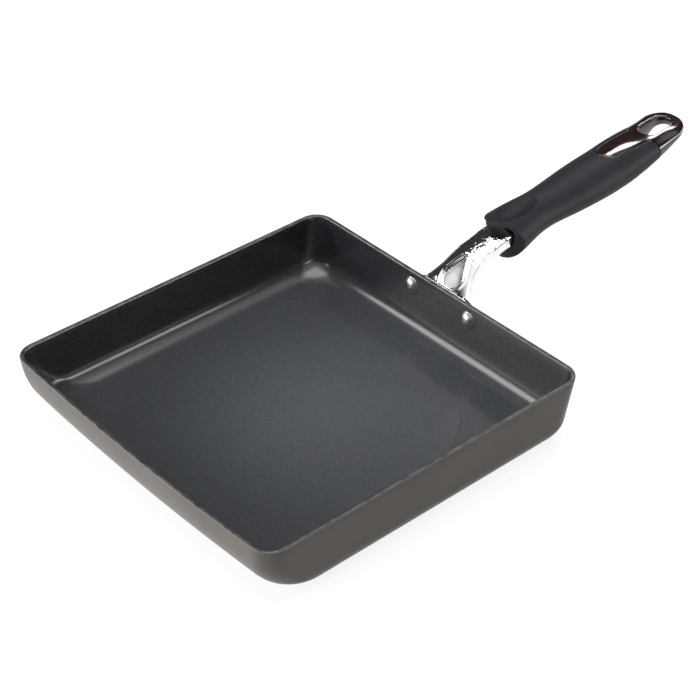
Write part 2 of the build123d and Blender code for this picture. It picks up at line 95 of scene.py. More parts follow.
class Bench:
    """Everyday steps of modelling, done with operators as by hand."""

    @staticmethod
    def deselect() -> None:
        """Leaves every object unselected."""
        if bpy.context.object is not None and bpy.context.object.mode != "OBJECT":
            bpy.ops.object.mode_set(mode="OBJECT")
        for obj in bpy.data.objects:
            obj.select_set(False)

    @staticmethod
    def pick(obj: bpy.types.Object) -> None:
        """Makes one object the only selected and the active one."""
        Bench.deselect()
        obj.select_set(True)
        bpy.context.view_layer.objects.active = obj

    @staticmethod
    def apply(obj: bpy.types.Object, kind: str, **settings: Any) -> None:
        """Adds a modifier and applies it.

        Args:
            obj: the piece.
            kind: the modifier's type.
            settings: its settings by name.
        """
        modifier = obj.modifiers.new(kind.lower(), kind)
        for name, value in settings.items():
            setattr(modifier, name, value)
        Bench.pick(obj)
        bpy.ops.object.modifier_apply(modifier=modifier.name)

    @staticmethod
    def combine(obj: bpy.types.Object, other: bpy.types.Object, cut: Cut) -> None:
        """Takes away, adds or intersects another solid, which is used up.

        Args:
            obj: the solid that stays.
            other: the solid that is used up.
            cut: what happens between them.
        """
        Bench.apply(obj, "BOOLEAN", operation=cut.value, solver="EXACT", object=other)
        bpy.data.objects.remove(other)

    @staticmethod
    def join(objects: Sequence[bpy.types.Object], name: str) -> bpy.types.Object:
        """Joins meshes into one object.

        Args:
            objects: the meshes, of which the first one stays.
            name: the joined object's name.

        Returns:
            The joined object.
        """
        Bench.deselect()
        for obj in objects:
            obj.select_set(True)
        bpy.context.view_layer.objects.active = objects[0]
        bpy.ops.object.join()
        objects[0].name = name
        return objects[0]

    @staticmethod
    def outward(obj: bpy.types.Object) -> None:
        """Merges doubles and turns every face of a closed skin outwards."""
        Bench.pick(obj)
        bpy.ops.object.mode_set(mode="EDIT")
        bpy.ops.mesh.select_all(action="SELECT")
        bpy.ops.mesh.remove_doubles(threshold=1e-7)
        bpy.ops.mesh.normals_make_consistent(inside=False)
        bpy.ops.object.mode_set(mode="OBJECT")

    @staticmethod
    def smooth(obj: bpy.types.Object, degrees: float) -> None:
        """Shades an object smooth, apart from edges sharper than an angle."""
        Bench.pick(obj)
        bpy.ops.object.shade_smooth_by_angle(angle=math.radians(degrees))

    @staticmethod
    def coat(obj: bpy.types.Object, material: bpy.types.Material, degrees: float) -> None:
        """Gives an object one material and shades it smooth.

        Args:
            obj: the object.
            material: its only material.
            degrees: edges sharper than this angle stay sharp.
        """
        obj.data.materials.clear()
        obj.data.materials.append(material)
        Bench.smooth(obj, degrees)

    @staticmethod
    def points(obj: bpy.types.Object) -> np.ndarray:
        """Vertex places of a mesh as an array, in millimetres."""
        flat = np.zeros(len(obj.data.vertices) * 3)
        obj.data.vertices.foreach_get("co", flat)
        return flat.reshape(-1, 3) / MM

    @staticmethod
    def put_points(obj: bpy.types.Object, points: np.ndarray) -> None:
        """Moves a mesh's vertices to places in millimetres."""
        obj.data.vertices.foreach_set("co", (points * MM).ravel())
        obj.data.update()

    @staticmethod
    def box(size: Sequence[float], middle: Sequence[float]) -> bpy.types.Object:
        """Adds a block.

        Args:
            size: its three sides.
            middle: its middle.

        Returns:
            The block, with its place in its mesh.
        """
        Bench.deselect()
        bpy.ops.mesh.primitive_cube_add(size=1.0)
        obj = bpy.context.object
        scale = Matrix.Diagonal((*(Vector(size) * MM), 1.0))
        obj.data.transform(Matrix.Translation(Vector(middle) * MM) @ scale)
        return obj

    @staticmethod
    def rod(start: float, end: float, radius: float) -> bpy.types.Object:
        """Adds a cylinder on the handle's axis.

        Args:
            start: where it starts along the axis.
            end: where it ends.
            radius: its radius.

        Returns:
            The cylinder, with its place in its mesh.
        """
        Bench.deselect()
        length = (end - start) * MM
        bpy.ops.mesh.primitive_cylinder_add(
            vertices=ROD_POINTS, radius=radius * MM, depth=length,
        )
        obj = bpy.context.object
        turn = Matrix.Rotation(math.radians(90), 4, "X")
        obj.data.transform(Matrix.Translation((0, (start + end) / 2 * MM, 0)) @ turn)
        return obj


class RingSkin:
    """A skin drawn as by hand: a circle whose edge loop is extruded and placed again and again."""

    def __init__(
        self, name: str, rings: Sequence[np.ndarray],
        start: Closing = Closing.FLAT, end: Closing = Closing.FLAT,
    ) -> None:
        """Draws the whole skin.

        Args:
            name: the object's name.
            rings: closed outlines with the same number of points, in millimetres.
            start: how the first ring is closed.
            end: how the last ring is closed.
        """
        self.count = len(rings[0])
        Bench.deselect()
        bpy.ops.mesh.primitive_circle_add(vertices=self.count, radius=0.01)
        self.obj = bpy.context.object
        self.obj.name = name
        bpy.ops.object.mode_set(mode="EDIT")
        bpy.ops.mesh.select_all(action="SELECT")
        first = list(range(self.count))
        self._place(first, rings[0])
        loop = first
        for ring in rings[1:]:
            loop = self._extrude(loop)
            self._place(loop, ring)
        self._close(loop, end)
        self._close(first, start)
        bpy.ops.object.mode_set(mode="OBJECT")
        Bench.outward(self.obj)

    def _mesh(self) -> bmesh.types.BMesh:
        """The edit mesh, with its indices up to date."""
        mesh = bmesh.from_edit_mesh(self.obj.data)
        mesh.verts.index_update()
        mesh.verts.ensure_lookup_table()
        return mesh

    def _place(self, loop: Sequence[int], ring: np.ndarray) -> None:
        """Moves the loop's vertices to a ring's points."""
        mesh = self._mesh()
        for index, point in zip(loop, ring):
            mesh.verts[index].co = Vector(point) * MM
        bmesh.update_edit_mesh(self.obj.data)

    def _extrude(self, loop: Sequence[int]) -> list[int]:
        """Extrudes the selected loop.

        Args:
            loop: its vertices in order.

        Returns:
            The new loop's vertices in the same order.
        """
        before = len(self._mesh().verts)
        bpy.ops.mesh.extrude_edges_indiv()
        mesh = self._mesh()
        new = []
        for index in loop:
            vertex = mesh.verts[index]
            ends = (edge.other_vert(vertex).index for edge in vertex.link_edges)
            new.append(next(end for end in ends if end >= before))
        return new

    def _close(self, loop: Sequence[int], closing: Closing) -> None:
        """Closes an end with one flat face or with a fan round a pole.

        Args:
            loop: the end's vertices.
            closing: which of the two.
        """
        bpy.ops.mesh.select_all(action="DESELECT")
        mesh = self._mesh()
        for index in loop:
            mesh.verts[index].select = True
        mesh.select_flush(True)
        for edge in mesh.edges:
            edge.select = all(v.select for v in edge.verts) and len(edge.link_faces) < 2
        bmesh.update_edit_mesh(self.obj.data)
        if closing is Closing.FLAT:
            bpy.ops.mesh.edge_face_add()
        else:
            bpy.ops.mesh.extrude_edges_indiv()
            bpy.ops.mesh.merge(type="CENTER")


def smooth_curve(knots: Sequence[float], values: Sequence[float], places: np.ndarray) -> np.ndarray:
    """Natural cubic curve through values at knots.

    Args:
        knots: rising places of the values.
        values: one value at each knot.
        places: where the curve is wanted.

    Returns:
        The curve's values.
    """
    x, y = np.array(knots, float), np.array(values, float)
    step, count = np.diff(x), len(x)
    system, right = np.eye(count), np.zeros(count)
    for i in range(1, count - 1):
        system[i, i - 1:i + 2] = step[i - 1], 2 * (step[i - 1] + step[i]), step[i]
        right[i] = 6 * ((y[i + 1] - y[i]) / step[i] - (y[i] - y[i - 1]) / step[i - 1])
    bend = np.linalg.solve(system, right)
    i = np.clip(np.searchsorted(x, places) - 1, 0, count - 2)
    h, a, b = step[i], x[i + 1] - places, places - x[i]
    return ((bend[i] * a ** 3 + bend[i + 1] * b ** 3) / (6 * h)
            + (y[i] / h - bend[i] * h / 6) * a + (y[i + 1] / h - bend[i + 1] * h / 6) * b)


def at_level(plan: np.ndarray, level: float) -> np.ndarray:
    """Points of a plan, all at one height."""
    return np.column_stack([plan, np.full(len(plan), level)])


def prism(name: str, plan: np.ndarray, low: float, high: float) -> bpy.types.Object:
    """Upright block on a closed plan.

    Args:
        name: the object's name.
        plan: its outline seen from above.
        low: height of its underside.
        high: height of its top.

    Returns:
        The block.
    """
    return RingSkin(name, [at_level(plan, level) for level in (low, high)]).obj


def shift(place: Sequence[float]) -> Matrix:
    """Move by a vector in millimetres."""
    return Matrix.Translation(Vector(place) * MM)


def turned(degrees: float, axis: str) -> Matrix:
    """Turn about an axis."""
    return Matrix.Rotation(math.radians(degrees), 4, axis)


def ease(value: np.ndarray) -> np.ndarray:
    """Smooth step from 0 to 1."""
    share = np.clip(value, 0.0, 1.0)
    return share * share * (3 - 2 * share)


def edge_drop(distance: np.ndarray, radius: float) -> np.ndarray:
    """How far a surface drops near an edge that is rounded over.

    Args:
        distance: distances from the edge.
        radius: the round's radius.

    Returns:
        The drop at each distance, 0 beyond the radius.
    """
    inside = np.clip(radius - distance, 0.0, radius)
    return radius - np.sqrt(np.maximum(radius ** 2 - inside ** 2, 0.0))


# Shader maths


Value = Union[float, "Wire"]


class Wire:
    """One socket of a finish's node sheet, which can be added, multiplied and so on."""

    def __init__(self, sheet: "Sheet", socket: bpy.types.NodeSocket) -> None:
        """Keeps the sheet and the socket."""
        self.sheet = sheet
        self.socket = socket

    def _maths(self, operation: str, first: Value, second: Value = 0.0) -> "Wire":
        """Adds one Math node."""
        return self.sheet.node("ShaderNodeMath", {"operation": operation}, {0: first, 1: second})

    def __add__(self, other: Value) -> "Wire":
        """Sum."""
        return self._maths("ADD", self, other)

    __radd__ = __add__

    def __mul__(self, other: Value) -> "Wire":
        """Product."""
        return self._maths("MULTIPLY", self, other)

    __rmul__ = __mul__

    def __sub__(self, other: Value) -> "Wire":
        """Difference."""
        return self._maths("SUBTRACT", self, other)

    def __rsub__(self, other: Value) -> "Wire":
        """Difference from a plain number."""
        return self._maths("SUBTRACT", other, self)

    def __pow__(self, other: Value) -> "Wire":
        """Power."""
        return self._maths("POWER", self, other)

    def larger(self, other: Value) -> "Wire":
        """The larger of two values."""
        return self._maths("MAXIMUM", self, other)

    def sine(self) -> "Wire":
        """Sine of a value in radians."""
        return self._maths("SINE", self)


class Sheet:
    """The node sheet of one finish or of the world."""

    def __init__(self, tree: bpy.types.NodeTree) -> None:
        """Starts from an empty tree."""
        self.tree = tree
        self.tree.nodes.clear()

    def node(
        self, kind: str, settings: dict[str, Any], inputs: dict[Any, Any], output: Any = 0,
    ) -> Wire:
        """Adds any node.

        Args:
            kind: the node's type.
            settings: its own settings, which are set first.
            inputs: values or wires by socket name or number.
            output: name or number of the wanted output.

        Returns:
            The wire from that output.
        """
        node = self.tree.nodes.new(kind)
        for name, value in settings.items():
            setattr(node, name, value)
        for name, value in inputs.items():
            if isinstance(value, Wire):
                self.tree.links.new(value.socket, node.inputs[name])
            else:
                node.inputs[name].default_value = value
        return Wire(self, node.outputs[output]) if node.outputs else Wire(self, node.inputs[0])

    def place(self) -> Wire:
        """Object coordinates."""
        return self.node("ShaderNodeTexCoord", {}, {}, "Object")

    def part(self, vector: Wire, axis: int) -> Wire:
        """One part of a vector: 0 for X, 1 for Y, 2 for Z."""
        return self.node("ShaderNodeSeparateXYZ", {}, {0: vector}, axis)

    def ray(self, kind: str) -> Wire:
        """1 for rays of one kind, 0 for the others."""
        return self.node("ShaderNodeLightPath", {}, {}, f"Is {kind} Ray")

    def pair(self, operation: str, one: Wire, other: Sequence[float]) -> Wire:
        """Number that comes from two vectors.

        Args:
            operation: DISTANCE or DOT_PRODUCT.
            one: the first vector.
            other: the second vector.

        Returns:
            The number.
        """
        settings = {"operation": operation}
        return self.node("ShaderNodeVectorMath", settings, {0: one, 1: other}, "Value")

    def noise(self, scale: float, detail: float = 2.0, roughness: float = 0.5) -> Wire:
        """Noise on Object coordinates.

        Args:
            scale: patches per metre.
            detail: octaves.
            roughness: weight of the finer octaves.

        Returns:
            The noise, from 0 to 1.
        """
        return self.node("ShaderNodeTexNoise", {}, {
            "Vector": self.place(), "Scale": scale, "Detail": detail, "Roughness": roughness,
        })

    def tint(self, share: Value, dark: Sequence[float], light: Sequence[float]) -> Wire:
        """Colour between two colours.

        Args:
            share: 0 for the first colour, 1 for the second.
            dark: first colour.
            light: second colour.

        Returns:
            The mixed colour.
        """
        return self.node(
            "ShaderNodeMix", {"data_type": "RGBA"},
            {0: share, 6: (*dark, 1.0), 7: (*light, 1.0)}, 2,
        )

    def ramp(self, value: Wire, low: float, high: float) -> Wire:
        """0 below low, 1 above high and smooth between."""
        return self.node(
            "ShaderNodeMapRange", {"interpolation_type": "SMOOTHSTEP"},
            {"Value": value, "From Min": low, "From Max": high},
        )

    def bump(self, height: Wire, strength: float, distance: float) -> Wire:
        """Normal from a height in the range 0 to 1.

        Args:
            height: the height field.
            strength: share of the effect.
            distance: how high 1 is, in millimetres.

        Returns:
            The normal.
        """
        return self.node("ShaderNodeBump", {}, {
            "Height": height, "Strength": strength, "Distance": distance * MM,
        })


class Finish:
    """Base of every finish: makes the material and its surface shader."""

    name = "finish"

    def material(self) -> bpy.types.Material:
        """Makes the material once.

        Returns:
            The material of this finish.
        """
        found = bpy.data.materials.get("look_" + self.name)
        if found is not None:
            return found
        made = bpy.data.materials.new("look_" + self.name)
        made.use_nodes = True
        sheet = Sheet(made.node_tree)
        surface = sheet.node("ShaderNodeBsdfPrincipled", {}, self.sockets(sheet))
        sheet.node("ShaderNodeOutputMaterial", {}, {"Surface": surface})
        return made

    def sockets(self, sheet: Sheet) -> dict[str, Any]:
        """Values and wires of the surface shader's sockets."""
        raise NotImplementedError


@dataclass(frozen=True)
class NonStickCoating(Finish):
    """Dark grey coating inside the pan, with a fine sprayed speckle and painted light on its floor.
    """

    name: str = "non_stick"
    dark: Triple = (0.0165, 0.0190, 0.0222)
    light: Triple = (0.0290, 0.0320, 0.0365)
    speck: Triple = (0.14, 0.15, 0.16)
    roughness: float = 0.22
    # Painted light on the floor: the pool's middle and reach in metres, the paleness painted over
    # the whole floor, the pool's extra share, and the heights over which it fades out up the walls
    middle: Triple = (0.0, 0.0087, 0.003)
    painted_pool_reach: float = 0.085
    floor_painted_light: float = 0.30
    painted_pool_share: float = 0.30
    painted_light_heights: Pair = (0.004, 0.014)

    def sockets(self, sheet: Sheet) -> dict[str, Any]:
        """Speckled charcoal, with painted light on the floor: paler all over it and palest in a
        painted pool of light in its middle.
        """
        cloud = sheet.noise(22.0, 3.0)
        grain = sheet.noise(1500.0, 2.0, 0.6)
        specks = sheet.ramp(sheet.noise(1900.0, 1.0), 0.66, 0.74)
        base = sheet.tint(sheet.ramp(0.4 * cloud + 0.6 * grain, 0.30, 0.70), self.dark, self.light)
        distance = sheet.pair("DISTANCE", sheet.place(), self.middle)
        flat = 1.0 - sheet.ramp(sheet.part(sheet.place(), 2), *self.painted_light_heights)
        centre = 1.0 - sheet.ramp(distance, 0.0, self.painted_pool_reach)
        # Painted light: the floor painted paler, patchy with the grain, and palest in a painted
        # pool of light round its middle
        painted_light = flat * (self.floor_painted_light + self.painted_pool_share * centre) * (0.45 + 1.1 * grain)
        inputs = {0: (specks * 0.5).larger(painted_light), 6: base, 7: (*self.speck, 1.0)}
        colour = sheet.node("ShaderNodeMix", {"data_type": "RGBA"}, inputs, 2)
        return {
            "Base Color": colour,
            "Roughness": self.roughness + 0.12 * (grain - 0.5),
            "Specular IOR Level": 0.70,
            "Normal": sheet.bump(grain, 0.35, 0.05),
        }


@dataclass(frozen=True)
class BronzeEnamel(Finish):
    """Warm grey-bronze enamel on the outside of the pan."""

    name: str = "bronze_enamel"
    dark: Triple = (0.165, 0.148, 0.133)
    light: Triple = (0.205, 0.186, 0.169)
    roughness: float = 0.36

    def sockets(self, sheet: Sheet) -> dict[str, Any]:
        """Paint with fine flakes."""
        flake = sheet.noise(2400.0, 1.0)
        share = sheet.ramp(0.5 * flake + 0.5 * sheet.noise(30.0, 2.0), 0.3, 0.7)
        return {
            "Base Color": sheet.tint(share, self.dark, self.light),
            "Specular IOR Level": 0.14,
            "Roughness": self.roughness + 0.10 * (flake - 0.5),
            "Normal": sheet.bump(flake, 0.15, 0.02),
        }


@dataclass(frozen=True)
class WornRim(Finish):
    """Rounded edge of the rim, where the coating is thin."""

    name: str = "rim_edge"
    dark: Triple = (0.055, 0.054, 0.052)
    light: Triple = (0.125, 0.122, 0.117)

    def sockets(self, sheet: Sheet) -> dict[str, Any]:
        """Brighter metal with small patches."""
        patch = sheet.noise(260.0, 3.0, 0.6)
        return {
            "Base Color": sheet.tint(sheet.ramp(patch, 0.35, 0.65), self.dark, self.light),
            "Metallic": 0.4,
            "Roughness": 0.30 + 0.15 * patch,
        }


@dataclass(frozen=True)
class MirrorChrome(Finish):
    """Bright plating of the bracket."""

    name: str = "mirror_chrome"
    colour: Triple = (0.86, 0.87, 0.89)
    neck: Pair = (0.101, 0.107)

    def sockets(self, sheet: Sheet) -> dict[str, Any]:
        """Clean plating over a casting that is a little uneven, and more so from the neck on."""
        wave = sheet.noise(190.0, 1.5, 0.4)
        smear = sheet.noise(60.0, 2.0)
        cast = sheet.noise(420.0, 2.5, 0.6) * sheet.ramp(sheet.part(sheet.place(), 1), *self.neck)
        return {
            "Base Color": (*self.colour, 1.0),
            "Metallic": 1.0,
            "Roughness": 0.035 + 0.05 * smear,
            "Normal": sheet.bump(wave + 5.0 * cast, 0.5, 0.22),
        }


@dataclass(frozen=True)
class SatinSteel(Finish):
    """Satin metal of the rivets, the screw, the nut and the washers."""

    name: str = "satin_steel"
    dark: Triple = (0.30, 0.29, 0.27)
    light: Triple = (0.46, 0.45, 0.42)
    roughness: float = 0.32
    grain: float = 900.0

    def sockets(self, sheet: Sheet) -> dict[str, Any]:
        """Metal with a fine grain."""
        grain = sheet.noise(self.grain, 2.0)
        return {
            "Base Color": sheet.tint(sheet.ramp(grain, 0.3, 0.7), self.dark, self.light),
            "Metallic": 1.0,
            "Roughness": self.roughness + 0.12 * (grain - 0.5),
            "Normal": sheet.bump(grain, 0.2, 0.02),
        }


@dataclass(frozen=True)
class TurnedSteel(Finish):
    """Bare steel disc with the rings of its turning."""

    name: str = "turned_steel"
    dark: Triple = (0.38, 0.37, 0.35)
    light: Triple = (0.56, 0.55, 0.53)
    rings_per_metre: float = 650.0

    def sockets(self, sheet: Sheet) -> dict[str, Any]:
        """Rings round the disc's middle, uneven in strength."""
        x, y = (sheet.part(sheet.place(), axis) for axis in (0, 1))
        radius = (x * x + y * y) ** 0.5
        uneven = sheet.noise(40.0, 2.0)
        rings = 0.5 + 0.5 * (radius * self.rings_per_metre * 2 * math.pi + 4 * uneven).sine()
        return {
            "Base Color": sheet.tint(0.6 * rings + 0.4 * uneven, self.dark, self.light),
            "Metallic": 1.0,
            "Roughness": 0.30 + 0.12 * uneven,
            "Normal": sheet.bump(rings, 0.25, 0.015),
        }


@dataclass(frozen=True)
class MattGrip(Finish):
    """Matt black moulded resin with a fine spark-eroded skin."""

    name: str = "matt_grip"
    dark: Triple = (0.0066, 0.0084, 0.0112)
    light: Triple = (0.0118, 0.0146, 0.0184)
    roughness: float = 0.58

    def sockets(self, sheet: Sheet) -> dict[str, Any]:
        """Fine grain with faint clouding from handling."""
        grain = sheet.noise(2600.0, 2.0, 0.6)
        cloud = sheet.noise(45.0, 3.0)
        share = sheet.ramp(0.5 * grain + 0.5 * cloud, 0.3, 0.7)
        return {
            "Base Color": sheet.tint(share, self.dark, self.light),
            "Roughness": self.roughness + 0.10 * (cloud - 0.5),
            "Specular IOR Level": 0.24,
            "Normal": sheet.bump(grain, 0.30, 0.04),
        }


@dataclass(frozen=True)
class GlossBrown(Finish):
    """Deep glossy brown of the end cap."""

    name: str = "gloss_brown"
    dark: Triple = (0.0175, 0.0060, 0.0045)
    light: Triple = (0.0260, 0.0105, 0.0085)

    def sockets(self, sheet: Sheet) -> dict[str, Any]:
        """Clear gloss over a brown with faint depth."""
        cloud = sheet.noise(80.0, 2.0)
        return {
            "Base Color": sheet.tint(cloud, self.dark, self.light),
            "Roughness": 0.10 + 0.05 * sheet.noise(300.0, 1.0),
            "Coat Weight": 0.5,
            "Coat Roughness": 0.04,
        }


# The pan


@dataclass
class PanShell:
    """The pressed pan: its form, its rim and its two coatings."""

    width: float = 180.0
    depth: float = 180.0
    height: float = 33.0
    wall: float = 2.2
    floor: float = 3.0
    draft: float = 3.5
    rim_corner: float = 10.0
    base_corner: float = 15.0
    base_round: float = 10.5
    front_round: float = 29.0
    front_bow: float = 2.0
    rim_round: float = 0.95
    rivet_height: float = 25.2
    disc_radius: float = 70.0
    disc_clearance: float = 0.15
    disc_thickness: float = 0.9
    ring_print: float = 0.06
    ring_middle: float = 8.7
    # Radius and share of the print's depth
    print_rings: tuple[Pair, ...] = (
        (69.0, 0.0), (68.4, 0.0), (68.0, 0.5), (67.6, 1.0), (67.0, 1.0),
        (66.0, 0.3), (64.5, 0.0), (40.0, 0.0), (5.0, 0.0),
    )
    seat_rings: Pair = (4.0, 30.0)
    seat_edge: float = 0.15
    lip_turns: tuple[float, ...] = (22.5, 45.0, 67.5, 90.0)
    side_points: int = 18
    corner_points: int = 22
    round_points: int = 15
    least_step: float = 0.06
    top_step: float = 0.5
    rings: list[np.ndarray] = field(default_factory=list)
    outer_end: int = 0
    inner_start: int = 0

    def inset(self, level: float, height: float, round_radius: float) -> float:
        """How far a wall stands inside its rim.

        Args:
            level: height above that form's floor.
            height: the whole form's height.
            round_radius: the round at its foot.

        Returns:
            The inset.
        """
        lean = math.radians(self.draft)
        if level >= round_radius * (1 - math.sin(lean)):
            return (height - level) * math.tan(lean)
        turn = math.asin(min(1.0, (round_radius - level) / round_radius))
        foot = round_radius * (1 - math.sin(lean)) / math.cos(lean)
        return height * math.tan(lean) + foot - round_radius * math.cos(turn)

    def rivets_back(self) -> float:
        """Where the outside of the handle wall is at the rivets' height."""
        return self.depth / 2 - self.inset(self.rivet_height, self.height, self.base_round)

    def outline(
        self, level: float, floor: float, offset: float, spread: float = 0.0,
    ) -> np.ndarray:
        """Closed outline of the outer or inner form at a level.

        Args:
            level: height above the underside.
            floor: height of that form's floor.
            offset: how far the form lies inside the outer one.
            spread: how far the outline is moved outwards.

        Returns:
            Its points.
        """
        height = self.height - floor
        side = self.inset(level - floor, height, self.base_round - offset) + offset - spread
        front_inset = self.inset(level - floor, height, self.front_round - offset) + offset - spread
        blend = level / self.height
        corner = self.base_corner + (self.rim_corner - self.base_corner) * blend - offset + spread
        right, back = self.width / 2 - side, self.depth / 2 - side
        front = self.depth / 2 - front_inset
        bow = 0.0
        for _ in range(4):
            bow = 2 * math.atan(self.front_bow / (right - corner + corner * math.sin(bow)))
        chord = right - corner + corner * math.sin(bow)
        low = -front + corner * math.cos(bow)
        radius = (chord ** 2 + self.front_bow ** 2) / (2 * self.front_bow)
        sweep = math.asin(chord / radius)
        quarter = math.pi / 2
        runs = [
            self._line((right, low), (right, back - corner)),
            self._arc((right - corner, back - corner), corner, 0, quarter),
            self._line((right - corner, back), (corner - right, back)),
            self._arc((corner - right, back - corner), corner, quarter, 2 * quarter),
            self._line((-right, back - corner), (-right, low)),
            self._arc((corner - right, low), corner, 2 * quarter, 3 * quarter - bow),
            self._arc(
                (0, -front - self.front_bow + radius), radius,
                3 * quarter - sweep, 3 * quarter + sweep, self.side_points,
            ),
            self._arc((right - corner, low), corner, 3 * quarter + bow, 4 * quarter),
        ]
        return at_level(np.concatenate(runs), level)

    def _line(self, start: Sequence[float], end: Sequence[float]) -> np.ndarray:
        """Points on a straight run, without its last one."""
        share = np.arange(self.side_points)[:, None] / self.side_points
        return np.array(start) * (1 - share) + np.array(end) * share

    def _arc(
        self, middle: Sequence[float], radius: float, start: float, end: float, count: int = 0,
    ) -> np.ndarray:
        """Points on an arc, without its last one."""
        number = count or self.corner_points
        turn = start + (end - start) * np.arange(number) / number
        return np.array(middle) + radius * np.column_stack([np.cos(turn), np.sin(turn)])

    @staticmethod
    def circle(like: np.ndarray, radius: float, level: float, middle: float = 0.0) -> np.ndarray:
        """Circle whose points lie in the same directions as an outline's.

        Args:
            like: the outline.
            radius: the circle's radius.
            level: its height.
            middle: how far its middle lies towards the handle.

        Returns:
            Its points.
        """
        turn = np.arctan2(like[:, 1], like[:, 0])
        plan = np.column_stack([radius * np.cos(turn), middle + radius * np.sin(turn)])
        return at_level(plan, level)

    def form_rings(self, floor: float, offset: float) -> list[np.ndarray]:
        """Outlines of one form from its floor to just under the rim.

        Args:
            floor: height of its floor.
            offset: how far it lies inside the outer form.

        Returns:
            The outlines, from the bottom up.
        """
        levels: list[float] = []
        for radius in (self.base_round - offset, self.front_round - offset):
            turns = np.radians(np.linspace(90, self.draft, self.round_points))
            levels += [floor + radius * (1 - math.sin(turn)) for turn in turns]
        top = self.height - self.rim_round
        levels = sorted(level for level in levels if level < top - self.top_step)
        kept = [levels[0]]
        for level in levels[1:]:
            if level - kept[-1] > self.least_step:
                kept.append(level)
        return [self.outline(level, floor, offset) for level in kept + [top]]

    def build(self) -> bpy.types.Object:
        """Draws the shell.

        Returns:
            The pan's skin.
        """
        outer, inner = self.form_rings(0.0, 0.0), self.form_rings(self.floor, self.wall)
        seat = self.disc_radius + self.disc_clearance
        like = outer[0]
        radii = (*self.seat_rings, seat)
        rings = [self.circle(like, radius, self.disc_thickness) for radius in radii]
        rings.append(self.circle(like, seat, self.seat_edge))
        rings.append(self.circle(like, seat + self.seat_edge, 0.0))
        rings += outer
        self.outer_end = len(rings)
        outside, inside = (0.0, 0.0, -1), (self.floor, self.wall, 1)
        lip = [(outside, turn) for turn in self.lip_turns]
        lip += [(inside, turn) for turn in self.lip_turns[::-1]]
        for (floor, offset, sign), turn in lip:
            level = self.height - self.rim_round * (1 - math.sin(math.radians(turn)))
            spread = self.rim_round * (1 - math.cos(math.radians(turn)))
            rings.append(self.outline(level, floor, offset, sign * spread))
        self.inner_start = len(rings)
        rings += inner[::-1]
        like = inner[0]
        for radius, drop in self.print_rings:
            level = self.floor - self.ring_print * drop
            rings.append(self.circle(like, radius, level, self.ring_middle))
        self.rings = rings
        return RingSkin("pan", rings, Closing.POLE, Closing.POLE).obj

    def dress(self, obj: bpy.types.Object) -> None:
        """Gives the outside, the rim and the inside their finishes."""
        for finish in (BronzeEnamel(), NonStickCoating(), WornRim()):
            obj.data.materials.append(finish.material())
        outside, inside, rim = range(3)
        count = len(self.rings[0])
        last = len(self.rings) * count
        for polygon in obj.data.polygons:
            low = min(polygon.vertices)
            ring = low // count if low < last else 0
            if max(polygon.vertices) >= last:
                ring = 0 if low < count else len(self.rings)
            if ring < self.outer_end + 1:
                polygon.material_index = outside
            elif ring < self.inner_start - 1:
                polygon.material_index = rim
            else:
                polygon.material_index = inside
        Bench.smooth(obj, 50.0)


@dataclass
class Rivets:
    """Two rivets: domes inside the pan, shanks and tails on the flange."""

    spacing: float = 38.0
    head_radius: float = 4.6
    head_height: float = 2.4
    shank_radius: float = 2.5
    tail_radius: float = 3.8
    tail_height: float = 1.4
    flange: float = 2.0
    # Corners of the rounded edges, as changes of radius and height
    head_edge: tuple[Pair, ...] = ((-0.06, 0.25), (0.0, 0.12), (-0.1, 0.0))
    tail_edge: tuple[Pair, ...] = ((0.0, 0.5), (-0.25, 0.15), (-0.6, 0.0))
    tail_middle: float = 0.5
    dome_steps: int = 12
    ring_points: int = 48
    pan: PanShell = field(default_factory=PanShell)

    def profile(self) -> list[Pair]:
        """Radius and height from the dome's top to the tail, measured from the outer wall."""
        inside = self.pan.wall / math.cos(math.radians(self.pan.draft))
        sphere = (self.head_radius ** 2 + self.head_height ** 2) / (2 * self.head_height)
        reach = math.asin(self.head_radius / sphere)
        crown, tail = inside + self.head_height, -(self.flange + self.tail_height)
        turns = [reach * step / self.dome_steps for step in range(1, self.dome_steps)]
        dome = [(sphere * math.sin(turn), crown - sphere * (1 - math.cos(turn))) for turn in turns]
        head = [(self.head_radius + wide, inside + up) for wide, up in self.head_edge]
        end = [(self.tail_radius + wide, tail + up) for wide, up in self.tail_edge]
        return dome + head + [
            (self.shank_radius, inside), (self.shank_radius, -self.flange),
            (self.tail_radius, -self.flange), *end, (self.tail_middle, tail),
        ]

    def build(self) -> bpy.types.Object:
        """Draws one rivet, copies it and puts both in the wall.

        Returns:
            Both rivets as one object.
        """
        turns = np.linspace(0, 2 * math.pi, self.ring_points, endpoint=False)
        plan = np.column_stack([np.cos(turns), np.sin(turns)])
        rings = [at_level(radius * plan, level) for radius, level in self.profile()]
        one = RingSkin("rivets", rings, Closing.POLE, Closing.POLE).obj
        other = one.copy()
        other.data = one.data.copy()
        bpy.context.scene.collection.objects.link(other)
        for obj, side in ((one, 1), (other, -1)):
            spot = (side * self.spacing / 2, self.pan.rivets_back(), self.pan.rivet_height)
            obj.data.transform(shift(spot) @ turned(90 - self.pan.draft, "X"))
        both = Bench.join([one, other], "rivets_look")
        Bench.coat(both, SatinSteel().material(), 40.0)
        return both


# The handle


